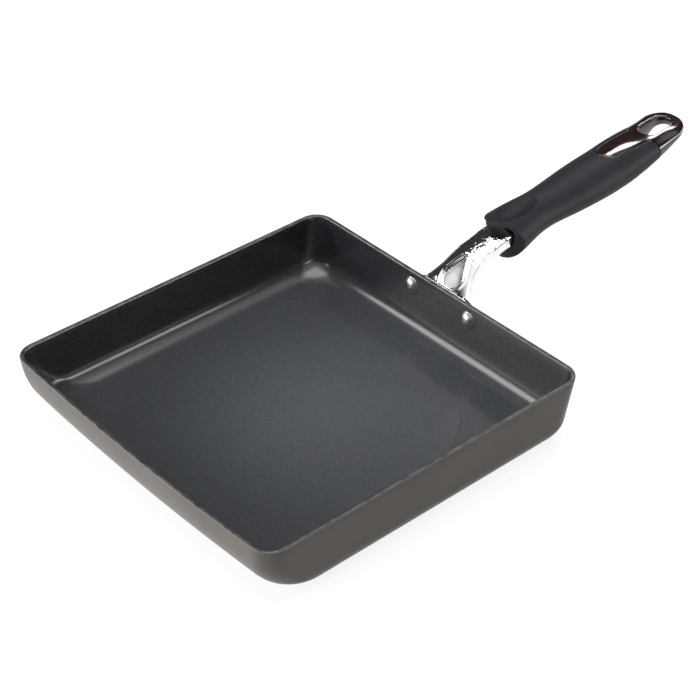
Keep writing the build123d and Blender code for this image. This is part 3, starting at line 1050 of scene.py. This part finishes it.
@dataclass(frozen=True)
class HandleForm:
    """The outside of the grip and the cap, in the handle's own frame."""

    nose_place: float = 119.6
    axis_height: float = 46.4
    rise: float = 5.5
    length: float = 130.0
    tail_radius: float = 11.8
    tail_edge: float = 2.8
    # Place along the axis, width, height, lift of the middle and squareness of each section
    stations: tuple[tuple[float, float, float, float, float], ...] = (
        (-4.5, 26.0, 22.6, -0.9, 2.0),
        (9.0, 26.0, 22.6, -0.9, 2.0),
        (20.0, 23.8, 19.5, 0.4, 2.0),
        (31.0, 22.2, 17.4, 0.7, 2.0),
        (46.0, 24.0, 18.7, 0.3, 2.0),
        (62.0, 26.3, 20.4, 0.1, 2.0),
        (79.0, 27.0, 21.0, 0.0, 2.0),
        (93.0, 26.5, 18.6, 0.9, 2.2),
        (99.0, 25.8, 16.3, 1.35, 2.4),
        (105.0, 25.1, 13.8, 1.85, 2.5),
        (111.0, 24.2, 12.0, 2.5, 2.5),
        (118.6, 23.6, 8.3, 4.15, 2.5),
        (122.0, 23.6, 6.4, 4.75, 2.5),
        (125.5, 23.6, 4.8, 5.2, 2.5),
        (132.4, 23.6, 3.6, 5.4, 2.5),
    )

    def place(self) -> Matrix:
        """From the handle's frame to the pan's."""
        return shift((0, self.nose_place, self.axis_height)) @ turned(self.rise, "X")

    def section(self, places: np.ndarray) -> tuple[np.ndarray, ...]:
        """Half-width, half-height, middle and squareness of the oval section.

        Args:
            places: distances along the axis.

        Returns:
            The four, one value at each place.
        """
        knots, widths, heights, lifts, powers = zip(*self.stations)
        half = smooth_curve(knots, widths, places) / 2
        tall = smooth_curve(knots, heights, places) / 2
        lift = smooth_curve(knots, lifts, places)
        past = np.clip(places - (self.length - self.tail_radius), 0.0, self.tail_radius)
        tail = np.sqrt(np.maximum(self.tail_radius ** 2 - past ** 2, 0.0))
        half = np.minimum(half, np.where(past > 0, tail, half))
        edge = np.clip((places - (self.length - self.tail_edge)) / self.tail_edge, 0.0, 1.0)
        tall = tall * np.sqrt(np.maximum(1 - edge ** 2, 0.0))
        return half, tall, lift, np.interp(places, knots, powers)

    def rings(self, places: np.ndarray, count: int) -> list[np.ndarray]:
        """Oval rings at places along the axis.

        Args:
            places: distances along the axis.
            count: points in a ring.

        Returns:
            The rings.
        """
        turn = np.linspace(0, 2 * math.pi, count, endpoint=False)
        across, up = np.cos(turn), np.sin(turn)
        rings = []
        for place, half, tall, lift, power in zip(places, *self.section(places)):
            x = half * np.sign(across) * np.abs(across) ** (2 / power)
            z = tall * np.sign(up) * np.abs(up) ** (2 / power)
            rings.append(np.column_stack([x, np.full(count, place), lift + z]))
        return rings


@dataclass(frozen=True)
class CapSeam:
    """Where the cap and the grip part: a tongue on top, the tail behind and a spigot inside."""

    grip_end: float = 105.0
    tongue_width: float = 14.4
    tongue_start: float = 75.0
    tongue_level: float = 5.5
    flare: float = 4.0
    spigot_start: float = 91.4
    spigot_radius: float = 6.0
    nose_points: int = 41
    bend_points: int = 13
    # Half the width, the end and the top of the space above the seam
    reach: Triple = (30.0, 150.0, 40.0)
    # Width, length and height of the space behind it
    tail_space: Triple = (59.0, 44.9, 60.0)

    def tongue_plan(self, gap: float) -> np.ndarray:
        """Outline of the tongue and the tail seen from above.

        Args:
            gap: how far it is moved outwards.

        Returns:
            Points in the handle's plan.
        """
        half, end = self.tongue_width / 2 + gap, self.grip_end - gap
        nose = self.tongue_start + self.tongue_width / 2
        turn = np.linspace(0, math.pi, self.nose_points)
        front = np.column_stack([half * np.cos(turn), nose - half * np.sin(turn)])
        flare = self.flare - gap
        bend = np.linspace(math.pi, math.pi / 2, self.bend_points)[:-1]
        out = np.column_stack([
            half + flare + flare * np.cos(bend), end - flare + flare * np.sin(bend),
        ])
        wide, rear = self.reach[:2]
        right = np.concatenate([out, [(half + flare, end), (wide, end), (wide, rear)]])
        left = right[::-1] * np.array([-1.0, 1.0])
        return np.concatenate([front[::-1], right, left])

    def solid(self, gap: float) -> bpy.types.Object:
        """The cap's share of space.

        Args:
            gap: how far its sides are moved outwards.

        Returns:
            A solid to cut with.
        """
        low, top = self.tongue_level - gap, self.reach[2]
        upper = prism("cap_space", self.tongue_plan(gap), low, top)
        wide, long, tall = self.tail_space
        middle = self.grip_end - gap + (long + gap) / 2
        Bench.combine(upper, Bench.box((wide, long + gap, tall), (0, middle, 0)), Cut.ADD)
        radius = self.spigot_radius + gap
        spigot = Bench.rod(self.spigot_start - gap, self.grip_end + 1, radius)
        Bench.combine(upper, spigot, Cut.ADD)
        return upper


@dataclass
class Grip:
    """Moulded grip with its hood, side notches, thumb rest and sockets."""

    form: HandleForm = field(default_factory=HandleForm)
    seam: CapSeam = field(default_factory=CapSeam)
    nose_radius: float = 14.0
    nose_half: float = 11.9
    nose_flank: float = 3.0
    nose_lean: float = 13.0
    hood_width: float = 26.0
    hood_top: float = 10.4
    # Width, height, corner and place of the neck's room at its two ends
    mouth: tuple[float, float, float, float] = (17.0, 9.6, 3.0, -2.0)
    seat: tuple[float, float, float, float] = (15.8, 7.6, 1.0, 11.0)
    # Width, length and height of the blocks cut out from the hood's tip
    blocks: tuple[Triple, ...] = ((15.8, 13.7, 7.6), (11.2, 32.6, 7.0))
    # Start, end and radius of the nut's and the screw's bores
    bores: tuple[Triple, ...] = ((31.6, 36.1, 4.34), (35.0, 105.0, 2.3))
    notch_reach: float = 20.0
    notch_radius: float = 6.0
    notch_place: float = 1.8
    notch_height: float = 2.6
    dish_place: float = 17.2
    dish_length: float = 28.0
    dish_width: float = 15.2
    dish_depth: float = 3.5
    dish_surface: float = 9.95
    dish_spare: float = 4.0
    seam_gap: float = 0.12
    # Length and half the height of the space behind the nose
    reach: Pair = (150.0, 50.0)
    # Start, end and number of the skin's rings, close together at the hood
    runs: tuple[tuple[float, float, int], ...] = ((-4.5, 36, 40), (37.5, 112, 48))
    ring_points: int = 96
    dish_points: int = 160
    dish_rings: int = 49
    socket_rings: int = 9
    nose_points: int = 49
    voxel: float = 0.42
    smooth_factor: float = 0.5
    smooth_rounds: int = 7

    def nose(self) -> bpy.types.Object:
        """Everything behind the rounded, leaning front, as a solid."""
        setback = self.nose_radius - math.sqrt(self.nose_radius ** 2 - self.nose_half ** 2)
        sweep = math.asin(self.nose_half / self.nose_radius)
        turn = np.linspace(-sweep, sweep, self.nose_points)
        front = self.nose_radius * np.column_stack([np.sin(turn), 1 - np.cos(turn)])
        flank, wide = setback + self.nose_flank, self.hood_width
        rear, tall = self.reach
        back = [(wide, flank), (wide, rear), (-wide, rear), (-wide, flank)]
        solid = prism("nose_space", np.concatenate([front, back]), -tall, tall)
        up = Matrix.Translation((0, 0, self.hood_top * MM))
        solid.data.transform(up @ turned(self.nose_lean, "X"))
        return solid

    def dish(self) -> bpy.types.Object:
        """Spindle that hollows out the thumb rest."""
        half, depth = self.dish_length / 2, self.dish_depth
        belly = ((self.dish_width / 2) ** 2 + depth ** 2) / (2 * depth)
        sag = (half ** 2 + depth ** 2) / (2 * depth)
        count, end = self.dish_points, half + self.dish_spare
        turn = np.linspace(0, 2 * math.pi, count, endpoint=False)
        rings = []
        for along in np.linspace(-end, end, self.dish_rings):
            radius = belly - sag + math.sqrt(sag ** 2 - along ** 2)
            rings.append(np.column_stack([
                radius * np.sin(turn), np.full(count, self.dish_place + along),
                self.dish_surface + belly - depth + radius * np.cos(turn),
            ]))
        return RingSkin("thumb_space", rings).obj

    def socket(self) -> list[bpy.types.Object]:
        """Rooms for the neck, the tang, the nut and the screw."""
        mouth, seat = np.array(self.mouth), np.array(self.seat)
        shares = np.linspace(0, 1, self.socket_rings)
        sizes = [mouth + (seat - mouth) * share for share in shares]
        rooms = [RingSkin("mouth_space", [rounded_box_ring(*size) for size in sizes]).obj]
        rooms += [Bench.box(size, (0, size[1] / 2, 0)) for size in self.blocks]
        return rooms + [Bench.rod(*bore) for bore in self.bores]

    def build(self) -> bpy.types.Object:
        """Draws the grip.

        Returns:
            The grip's skin in the pan's frame.
        """
        places = np.concatenate([np.linspace(*run) for run in self.runs])
        grip = RingSkin("grip_look", self.form.rings(places, self.ring_points)).obj
        Bench.apply(grip, "SUBSURF", levels=1, render_levels=1)
        Bench.combine(grip, self.nose(), Cut.KEEP_COMMON)
        Bench.combine(grip, self.dish(), Cut.TAKE_AWAY)
        for room in self.socket():
            Bench.combine(grip, room, Cut.TAKE_AWAY)
        notch = Bench.rod(-self.notch_reach, self.notch_reach, self.notch_radius)
        notch.data.transform(turned(90, "Z"))
        notch.data.transform(shift((0, self.notch_place, self.notch_height)))
        Bench.combine(grip, notch, Cut.TAKE_AWAY)
        Bench.combine(grip, self.seam.solid(self.seam_gap), Cut.TAKE_AWAY)
        Bench.apply(grip, "REMESH", mode="VOXEL", voxel_size=self.voxel * MM)
        Bench.apply(grip, "SMOOTH", factor=self.smooth_factor, iterations=self.smooth_rounds)
        grip.data.transform(self.form.place())
        Bench.coat(grip, MattGrip().material(), 180.0)
        return grip


def rounded_box_ring(wide: float, tall: float, corner: float, place: float) -> np.ndarray:
    """Rounded rectangle across the handle's axis.

    Args:
        wide: its width.
        tall: its height.
        corner: its corners' radius.
        place: where it is along the axis.

    Returns:
        Its points.
    """
    points = []
    for number, (x, z) in enumerate(((1, 1), (-1, 1), (-1, -1), (1, -1))):
        for step in range(CORNER_STEPS + 1):
            turn = math.radians(90 * number + 90 * step / CORNER_STEPS)
            points.append((
                x * (wide / 2 - corner) + corner * math.cos(turn), place,
                z * (tall / 2 - corner) + corner * math.sin(turn),
            ))
    return np.array(points)


@dataclass
class EndCap:
    """Glossy cap: tongue, flattened tail, hanging slot and the screw's bores."""

    form: HandleForm = field(default_factory=HandleForm)
    seam: CapSeam = field(default_factory=CapSeam)
    slot_start: float = 104.1
    slot_end: float = 124.7
    slot_width: float = 10.4
    slot_foot: float = 109.8
    slot_top: float = 8.65
    recess_start: float = 94.4
    slot_ramp: float = 4.9
    slot_spare: float = 2.0
    tongue_round: float = 1.6
    tongue_fade: float = 5.0
    slot_round: float = 1.1
    slot_fade: float = 4.0
    recess_radius: float = 4.3
    bore_radius: float = 2.3
    spare: float = 1.0
    # End, half the height and half the width of the space above the slot's slope
    ramp_space: Triple = (140.0, 40.0, 12.0)
    slot_reach: float = 30.0
    slot_points: int = 25
    # The skin's rings: start, end and number, then start, gap before the tail and number
    tongue_run: tuple[float, float, int] = (73.5, 104.0, 52)
    slot_run: tuple[float, float, int] = (104.6, 0.4, 34)
    # Length and number of the tail's rings, which crowd towards its end
    tail_run: tuple[float, int] = (13.0, 30)
    ring_points: int = 128

    def slot(self) -> bpy.types.Object:
        """Solid of the hanging slot, whose front is a slope."""
        half = self.slot_width / 2
        turn = np.linspace(0, math.pi, self.slot_points)
        across, along = half * np.cos(turn), half * np.sin(turn)
        rear = np.column_stack([across, self.slot_end - half + along])
        front = np.column_stack([-across, self.slot_start + half - along])
        plan = np.concatenate([rear, front])
        solid = prism("slot_space", plan, -self.slot_reach, self.slot_reach)
        slope = self.slot_ramp / (self.slot_foot - self.slot_start)
        start = self.slot_start - self.slot_spare
        end, tall, wide = self.ramp_space
        side = np.array([
            (start, self.slot_top + self.slot_spare * slope),
            (self.slot_foot, self.slot_top - self.slot_ramp), (self.slot_foot, -tall),
            (end, -tall), (end, tall), (start, tall),
        ])
        rings = [np.column_stack([np.full(len(side), x), side]) for x in (-wide, wide)]
        Bench.combine(solid, RingSkin("ramp_space", rings).obj, Cut.KEEP_COMMON)
        return solid

    def soften(self, points: np.ndarray) -> np.ndarray:
        """Rounds the skin over along the seam and the slot, before they are cut.

        Args:
            points: places of the skin's vertices in the handle's frame.

        Returns:
            The new places.
        """
        x, y, z = points.T
        lift = self.form.section(y)[2]
        up = np.where(z >= lift, 1.0, -1.0)
        half = self.seam.tongue_width / 2
        nose = self.seam.tongue_start + half
        side = half - np.abs(x)
        tip = half - np.hypot(x, np.minimum(y - nose, 0.0))
        inside = np.where(y < nose, tip, side)
        fade = ease((self.seam.grip_end - self.spare - y) / self.tongue_fade)
        drop = edge_drop(np.clip(inside, 0.0, None), self.tongue_round) * fade * (z > lift)
        radius = self.slot_width / 2
        middle = np.clip(y, self.slot_start + radius, self.slot_end - radius)
        outside = np.clip(np.hypot(x, y - middle) - radius, 0.0, None)
        fade = ease((y - self.slot_start - self.spare) / self.slot_fade)
        drop += edge_drop(outside, self.slot_round) * fade
        return np.column_stack([x, y, z - up * np.minimum(drop, np.abs(z - lift))])

    def build(self) -> bpy.types.Object:
        """Draws the cap.

        Returns:
            The cap's skin in the pan's frame.
        """
        end = self.form.length
        tail, count = self.tail_run
        rear = end - tail * (1 - np.sin(np.linspace(0, math.pi / 2, count)))[:-1]
        start, gap, count = self.slot_run
        places = np.concatenate([
            np.linspace(*self.tongue_run), np.linspace(start, rear[0] - gap, count),
            rear, [end - 0.01],
        ])
        rings = self.form.rings(places, self.ring_points)
        cap = RingSkin("end_cap_look", rings, end=Closing.POLE).obj
        Bench.apply(cap, "SUBSURF", levels=1, render_levels=1)
        Bench.put_points(cap, self.soften(Bench.points(cap)))
        Bench.combine(cap, self.seam.solid(0.0), Cut.KEEP_COMMON)
        Bench.combine(cap, self.slot(), Cut.TAKE_AWAY)
        recess_end = self.slot_foot + self.slot_width / 2
        recess = Bench.rod(self.recess_start, recess_end, self.recess_radius)
        Bench.combine(cap, recess, Cut.TAKE_AWAY)
        start, end = self.seam.spigot_start - self.spare, self.recess_start + self.spare
        Bench.combine(cap, Bench.rod(start, end, self.bore_radius), Cut.TAKE_AWAY)
        cap.data.transform(self.form.place())
        Bench.coat(cap, GlossBrown().material(), 38.0)
        return cap


@dataclass
class Bracket:
    """Chromed bracket: flange, arms round a dished pocket, hollow neck and tang."""

    pan: PanShell = field(default_factory=PanShell)
    form: HandleForm = field(default_factory=HandleForm)
    # Distance behind and above the rim, slope in degrees, width and height of each section
    stations: tuple[tuple[float, float, float, float, float], ...] = (
        (-0.6, -1.6, 42.0, 30.5, 5.0),
        (3.4, 2.3, 44.0, 24.6, 5.0),
        (7.4, 6.2, 43.0, 20.0, 5.0),
        (12.4, 10.5, 37.0, 17.4, 5.5),
        (17.4, 13.4, 26.0, 16.0, 6.0),
        (23.4, 15.3, 14.0, 15.2, 7.0),
    )
    neck_width: float = 15.2
    neck_height: float = 7.0
    neck_inside: float = 13.4
    top_wall: float = 2.6
    cheek: float = 2.0
    edge_round: float = 1.1
    crown: float = 1.5
    pocket_root: float = 6.4
    pocket_tip: float = 1.6
    pocket_length: float = 11.6
    pocket_depth: float = 1.7
    pocket_lip: float = 0.5
    pocket_slope: float = 1.7
    pocket_place: float = 4.6
    bead_height: float = 0.3
    bead_place: float = 0.9
    bead_width: float = 0.5
    ring_count: int = 130
    edge_points: int = 7
    top_points: int = 50
    side_points: int = 8
    inner_points: int = 6
    ceiling_points: int = 14
    ledge: Triple = (31.0, 2.8, 1.8)
    ledge_back: float = 0.5
    ledge_drop: float = 1.9
    tang: Triple = (10.6, 22.2, 6.4)
    tang_place: float = 21.5
    tang_edge: float = 1.2
    tang_bore: Triple = (14.4, 33.6, 2.3)
    wall_room: Triple = (90.0, 90.0, 30.0)
    flange_thickness: float = 2.0
    flange_gap: float = 0.02
    flange_edge: float = 0.35
    # Middle and radius of the flange's corners on one side; the second one goes round a rivet
    flange_corners: tuple[Triple, ...] = (
        (12.0, 7.0, 0.6), (19.0, 0.0, 4.9), (13.0, -9.7, 1.0),
    )

    def path(self) -> list[tuple[float, float, float, float, float]]:
        """Stations from the wall to the neck's end: place, top, slope, width and height."""
        rim, rise = self.pan.depth / 2, math.radians(self.form.rise)
        found = [
            (rim + out, self.pan.height + up, slope, wide, tall)
            for out, up, slope, wide, tall in self.stations
        ]
        half = self.neck_height / 2
        for inside in (0.0, self.neck_inside):
            place = self.form.nose_place + inside * math.cos(rise) - half * math.sin(rise)
            top = self.form.axis_height + inside * math.sin(rise) + half * math.cos(rise)
            found.append((place, top, self.form.rise, self.neck_width, self.neck_height))
        return found

    def section(self, wide: float, tall: float) -> np.ndarray:
        """Section of the arms: a top with two cheeks, open below.

        Args:
            wide: its width.
            tall: its height.

        Returns:
            Points across and up from the middle of its top.
        """
        radius, half = self.edge_round, wide / 2
        turn = np.linspace(math.pi, math.pi / 2, self.edge_points)
        left = np.column_stack([
            -half + radius + radius * np.cos(turn), -radius + radius * np.sin(turn),
        ])
        across = np.linspace(-half + radius, half - radius, self.top_points)[1:-1]
        top = np.column_stack([across, np.zeros_like(across)])
        levels = np.linspace(-tall, -radius, self.side_points)[:-1]
        rise = np.column_stack([np.full_like(levels, -half), levels])
        right = left[::-1] * np.array([-1, 1])
        fall = rise[::-1] * np.array([-1, 1])
        room, depth = half - self.cheek, self.top_wall
        levels = np.linspace(-tall, -depth, self.inner_points)[:-1]
        inner_right = np.column_stack([np.full_like(levels, room), levels])
        across = np.linspace(room, -room, self.ceiling_points)
        ceiling = np.column_stack([across, np.full_like(across, -depth)])
        inner_left = inner_right[::-1] * np.array([-1, 1])
        return np.concatenate([rise, left, top, right, fall, inner_right, ceiling, inner_left])

    def pocket_edge(self, across: np.ndarray, along: np.ndarray) -> np.ndarray:
        """Distance outwards from the teardrop's outline, negative inside it.

        Args:
            across: places across the arms.
            along: places along the arms from the middle of the wide end.

        Returns:
            The distances.
        """
        x, y = np.abs(across), along
        slant = (self.pocket_root - self.pocket_tip) / self.pocket_length
        lean = math.sqrt(1 - slant * slant)
        rank = x * -slant + y * lean
        root = np.hypot(x, y) - self.pocket_root
        tip = np.hypot(x, y - self.pocket_length) - self.pocket_tip
        flank = x * lean + y * slant - self.pocket_root
        return np.where(rank < 0, root, np.where(rank > lean * self.pocket_length, tip, flank))

    def build(self) -> bpy.types.Object:
        """Draws the bracket.

        Returns:
            The bracket's skin.
        """
        stations = np.array(self.path())
        steps = np.hypot(np.diff(stations[:, 0]), np.diff(stations[:, 1]))
        run = np.concatenate([[0], np.cumsum(steps)])
        along = np.linspace(run[0], run[-1], self.ring_count)
        place, top, slope, wide, tall = (smooth_curve(run, values, along) for values in stations.T)
        wide = np.where(along > run[len(self.stations) - 1], self.neck_width, wide)
        start = np.interp(self.pan.depth / 2 + self.pocket_place, place, along)
        rings = []
        for i in range(len(along)):
            section = self.section(wide[i], tall[i])
            x, y = section.T
            surface = y > -self.edge_round - 0.01
            edge = self.pocket_edge(x, np.full(len(x), along[i] - start))
            bead = self.bead_height * np.exp(-((edge - self.bead_place) / self.bead_width) ** 2)
            dish = self.pocket_depth * ease((self.pocket_lip - edge) / self.pocket_slope) - bead
            arch = self.crown * np.clip(2 * x / wide[i], -1, 1) ** 2
            lowered = y - surface * (dish + arch)
            tilt = math.radians(slope[i])
            rings.append(np.column_stack([
                x, place[i] - lowered * math.sin(tilt), top[i] + lowered * math.cos(tilt),
            ]))
        arms = RingSkin("handle_bracket_look", rings).obj
        middle = (0, self.pan.depth / 2 + self.ledge_back, self.pan.height - self.ledge_drop)
        Bench.combine(arms, Bench.box(self.ledge, middle), Cut.ADD)
        Bench.combine(arms, self.wall_space(), Cut.TAKE_AWAY)
        Bench.combine(arms, self.flange(), Cut.ADD)
        tang = Bench.box(self.tang, (0, self.tang_place, 0))
        Bench.apply(
            tang, "BEVEL", width=self.tang_edge * MM, segments=3, limit_method="ANGLE",
        )
        Bench.combine(tang, Bench.rod(*self.tang_bore), Cut.TAKE_AWAY)
        tang.data.transform(self.form.place())
        Bench.combine(arms, tang, Cut.ADD)
        Bench.coat(arms, MirrorChrome().material(), 32.0)
        return arms

    def wall_frame(self) -> Matrix:
        """From the outside of the handle wall, Y up the wall and Z outwards, to the pan's frame."""
        lean = math.radians(self.pan.draft)
        sine, cosine = math.sin(lean), math.cos(lean)
        turn = Matrix(((-1, 0, 0), (0, sine, cosine), (0, cosine, -sine))).to_4x4()
        return shift((0, self.pan.rivets_back(), self.pan.rivet_height)) @ turn

    def wall_space(self) -> bpy.types.Object:
        """Everything inside the handle wall's outer face."""
        block = Bench.box(self.wall_room, (0, 0, -self.wall_room[2] / 2))
        block.data.transform(self.wall_frame())
        return block

    def flange(self) -> bpy.types.Object:
        """Plate on the wall with an ear round each rivet."""
        outline: list[Pair] = []
        hull = list(self.flange_corners)
        hull += [(-x, y, radius) for x, y, radius in reversed(hull)]
        count = len(hull)
        for i, (x, y, radius) in enumerate(hull):
            before, after = hull[i - 1], hull[(i + 1) % count]
            first = self.tangent(before, (x, y, radius))
            last = self.tangent((x, y, radius), after)
            sweep = (first - last) % (2 * math.pi)
            for step in range(CORNER_STEPS + 1):
                turn = first - sweep * step / CORNER_STEPS
                outline.append((x + radius * math.cos(turn), y + radius * math.sin(turn)))
        plate = prism("flange", np.array(outline), self.flange_gap, self.flange_thickness)
        Bench.apply(
            plate, "BEVEL", width=self.flange_edge * MM, segments=3,
            limit_method="ANGLE", angle_limit=math.radians(60),
        )
        plate.data.transform(self.wall_frame())
        return plate

    @staticmethod
    def tangent(one: Sequence[float], two: Sequence[float]) -> float:
        """Direction from a circle's middle to where a belt round both circles touches it.

        Args:
            one: first circle's middle and radius.
            two: second circle's middle and radius.

        Returns:
            The direction as an angle, the same for both circles.
        """
        dx, dy = two[0] - one[0], two[1] - one[1]
        gap = math.hypot(dx, dy)
        return math.atan2(dy, dx) + math.acos((one[2] - two[2]) / gap)


# Studio


# A round patch of the world: its middle's direction, and the nearness where it begins and is full
Patch = tuple[Triple, Pair]


@dataclass
class Lamp:
    """One soft box."""

    name: str
    place: Triple
    target: Triple
    size: Pair
    power: float  # watts
    spread: float = 180.0  # degrees

    def build(self) -> None:
        """Adds the soft box, turned towards its target."""
        data = bpy.data.lights.new(self.name, "AREA")
        data.spread = math.radians(self.spread)
        data.shape = "RECTANGLE"
        data.size, data.size_y = self.size
        data.energy = self.power
        obj = bpy.data.objects.new(self.name, data)
        bpy.context.scene.collection.objects.link(obj)
        obj.location = self.place
        aim = Vector(self.target) - Vector(self.place)
        obj.rotation_euler = aim.to_track_quat("-Z", "Y").to_euler()


@dataclass
class Studio:
    """Pale floor, soft light and the camera at the photograph's angle."""

    azimuth: float = 48.78
    elevation: float = 36.54
    distance: float = 851.768
    shift_right: float = 23.953
    shift_up: float = 32.428
    lens: float = 97.075
    ambient: float = 0.24
    surround: float = 0.04
    backdrop: float = 8.0
    backdrop_top: Pair = (0.18, 0.34)
    backdrop_side: Patch = ((0.86, 0.51, 0.0), (0.45, 0.85))
    canopy: Patch = ((0.35, -0.10, 0.93), (0.62, 0.80))
    window: Patch = ((-0.60, -0.68, 0.42), (0.92, 0.995))
    floor_size: float = 6.0
    floor_drop: float = 0.0003
    floor_light: float = 0.40
    floor_seen: float = 0.25
    floor_glow: float = 0.87
    lamps: list[Lamp] = field(default_factory=lambda: [
        Lamp("key_soft_box", (-0.81, -1.08, 0.42), (0.0, 0.0, 0.02), (1.6, 0.85), 21.0),
        Lamp("top_soft_box", (0.0, 0.0, 1.3), (0.0, 0.0, 0.02), (1.0, 1.0), 9.5),
        Lamp(
            "cap_strip", (-0.33, 0.81, 0.80), (0.003, 0.225, 0.060), (0.26, 0.26), 0.07, 18.0,
        ),
    ])

    def camera(self) -> None:
        """Adds the camera."""
        turn, lift = math.radians(self.azimuth), math.radians(self.elevation)
        level = math.cos(lift)
        back = Vector((math.sin(turn) * level, -math.cos(turn) * level, math.sin(lift)))
        right = Vector((math.cos(turn), math.sin(turn), 0))
        up = back.cross(right)
        place = (back * self.distance + right * self.shift_right + up * self.shift_up) * MM
        data = bpy.data.cameras.new("camera")
        data.lens = self.lens
        data.sensor_width = 36.0
        data.clip_start, data.clip_end = 0.01, 20.0
        obj = bpy.data.objects.new("camera", data)
        bpy.context.scene.collection.objects.link(obj)
        axes = Matrix((right, up, back)).transposed().to_4x4()
        obj.matrix_world = Matrix.Translation(place) @ axes
        bpy.context.scene.camera = obj

    @staticmethod
    def seen(sheet: Sheet) -> Wire:
        """1 for rays that come from the camera, a mirror or glass."""
        return sheet.ray("Camera").larger(sheet.ray("Glossy")).larger(sheet.ray("Transmission"))

    def world(self) -> None:
        """White to the eye, and a plain soft light.

        Gloss sees dim surroundings with a canopy above, a window at the front left and a low
        backdrop at the right, towards the handle.
        """
        world = bpy.data.worlds.new("studio")
        world.use_nodes = True
        bpy.context.scene.world = world
        sheet = Sheet(world.node_tree)
        camera, glossy = sheet.ray("Camera"), sheet.ray("Glossy")
        towards = sheet.node("ShaderNodeTexCoord", {}, {}, "Generated")
        canopy, window, side = (
            sheet.ramp(sheet.pair("DOT_PRODUCT", towards, axis), *near)
            for axis, near in (self.canopy, self.window, self.backdrop_side)
        )
        high = sheet.ramp(sheet.part(towards, 2), *self.backdrop_top)
        backdrop = self.backdrop * side * (1.0 - high)
        plain = self.ambient + (1.0 - self.ambient) * camera
        strength = plain * (1.0 - glossy) + (self.surround + canopy + window + backdrop) * glossy
        inputs = {"Color": (1, 1, 1, 1), "Strength": strength}
        ground = sheet.node("ShaderNodeBackground", {}, inputs)
        sheet.node("ShaderNodeOutputWorld", {}, {"Surface": ground})

    def floor(self) -> bpy.types.Object:
        """Adds the floor, which keeps the object's soft shadow."""
        Bench.deselect()
        bpy.ops.mesh.primitive_plane_add(size=self.floor_size, location=(0, 0, -self.floor_drop))
        obj = bpy.context.object
        obj.name = "studio_floor"
        made = bpy.data.materials.new("look_floor")
        made.use_nodes = True
        sheet = Sheet(made.node_tree)
        paper, pale = (
            sheet.node("ShaderNodeBsdfDiffuse", {}, {"Color": (grey, grey, grey, 1)})
            for grey in (self.floor_light, self.floor_seen)
        )
        inputs = {"Color": (1, 1, 1, 1), "Strength": self.floor_glow}
        glow = sheet.node("ShaderNodeEmission", {}, inputs)
        shown = sheet.node("ShaderNodeAddShader", {}, {0: pale, 1: glow})
        inputs = {0: self.seen(sheet), 1: paper, 2: shown}
        surface = sheet.node("ShaderNodeMixShader", {}, inputs)
        sheet.node("ShaderNodeOutputMaterial", {}, {"Surface": surface})
        obj.data.materials.append(made)
        return obj

    def build(self) -> None:
        """Sets up the whole studio."""
        self.camera()
        self.world()
        self.floor()
        for lamp in self.lamps:
            lamp.build()
        bpy.context.scene.view_settings.view_transform = "Standard"


class PanAssembly:
    """Every piece of the pan, drawn or dressed, in order."""

    def __init__(self) -> None:
        """Finds the CAD nodes."""
        self.nodes: dict[str, bpy.types.Object] = frame["nodes"]

    def stand_in(self, obj: bpy.types.Object, node: str) -> None:
        """Lets a drawn piece stand for a CAD node.

        Args:
            obj: the drawn piece.
            node: the node's name.
        """
        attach(obj, BODY)
        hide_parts(node)
        LOG.info("%s stands for %s with %d faces", obj.name, node, len(obj.data.polygons))

    def dress_node(self, node: str, finish: Finish) -> None:
        """Gives a CAD node its finish.

        Args:
            node: the node's name.
            finish: its finish.
        """
        obj = self.nodes[node]
        for slot in obj.material_slots:
            slot.material = finish.material()
        LOG.info("%s is dressed in %s", node, finish.name)

    def build(self) -> None:
        """Builds and dresses every piece."""
        shell = PanShell()
        pan = shell.build()
        shell.dress(pan)
        pan.name = "pan_look"
        self.stand_in(pan, "pan_body")
        self.stand_in(Rivets(pan=shell).build(), "rivets")
        self.stand_in(Bracket(pan=shell).build(), "handle_bracket")
        self.stand_in(Grip().build(), "grip")
        self.stand_in(EndCap().build(), "end_cap")
        self.dress_node("induction_disc", TurnedSteel())
        fastener = SatinSteel(
            name="zinc_steel", dark=(0.42, 0.42, 0.42), light=(0.62, 0.62, 0.62), roughness=0.28,
        )
        for node in ("tang_nut", "handle_screw", "flat_washer", "spring_washer"):
            self.dress_node(node, fastener)


def main() -> None:
    """Builds the pan and the studio."""
    logging.basicConfig(level=logging.INFO, format="%(name)s: %(message)s")
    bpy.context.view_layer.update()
    Studio().build()
    PanAssembly().build()
    Bench.deselect()


if __name__ == "__main__":
    main()
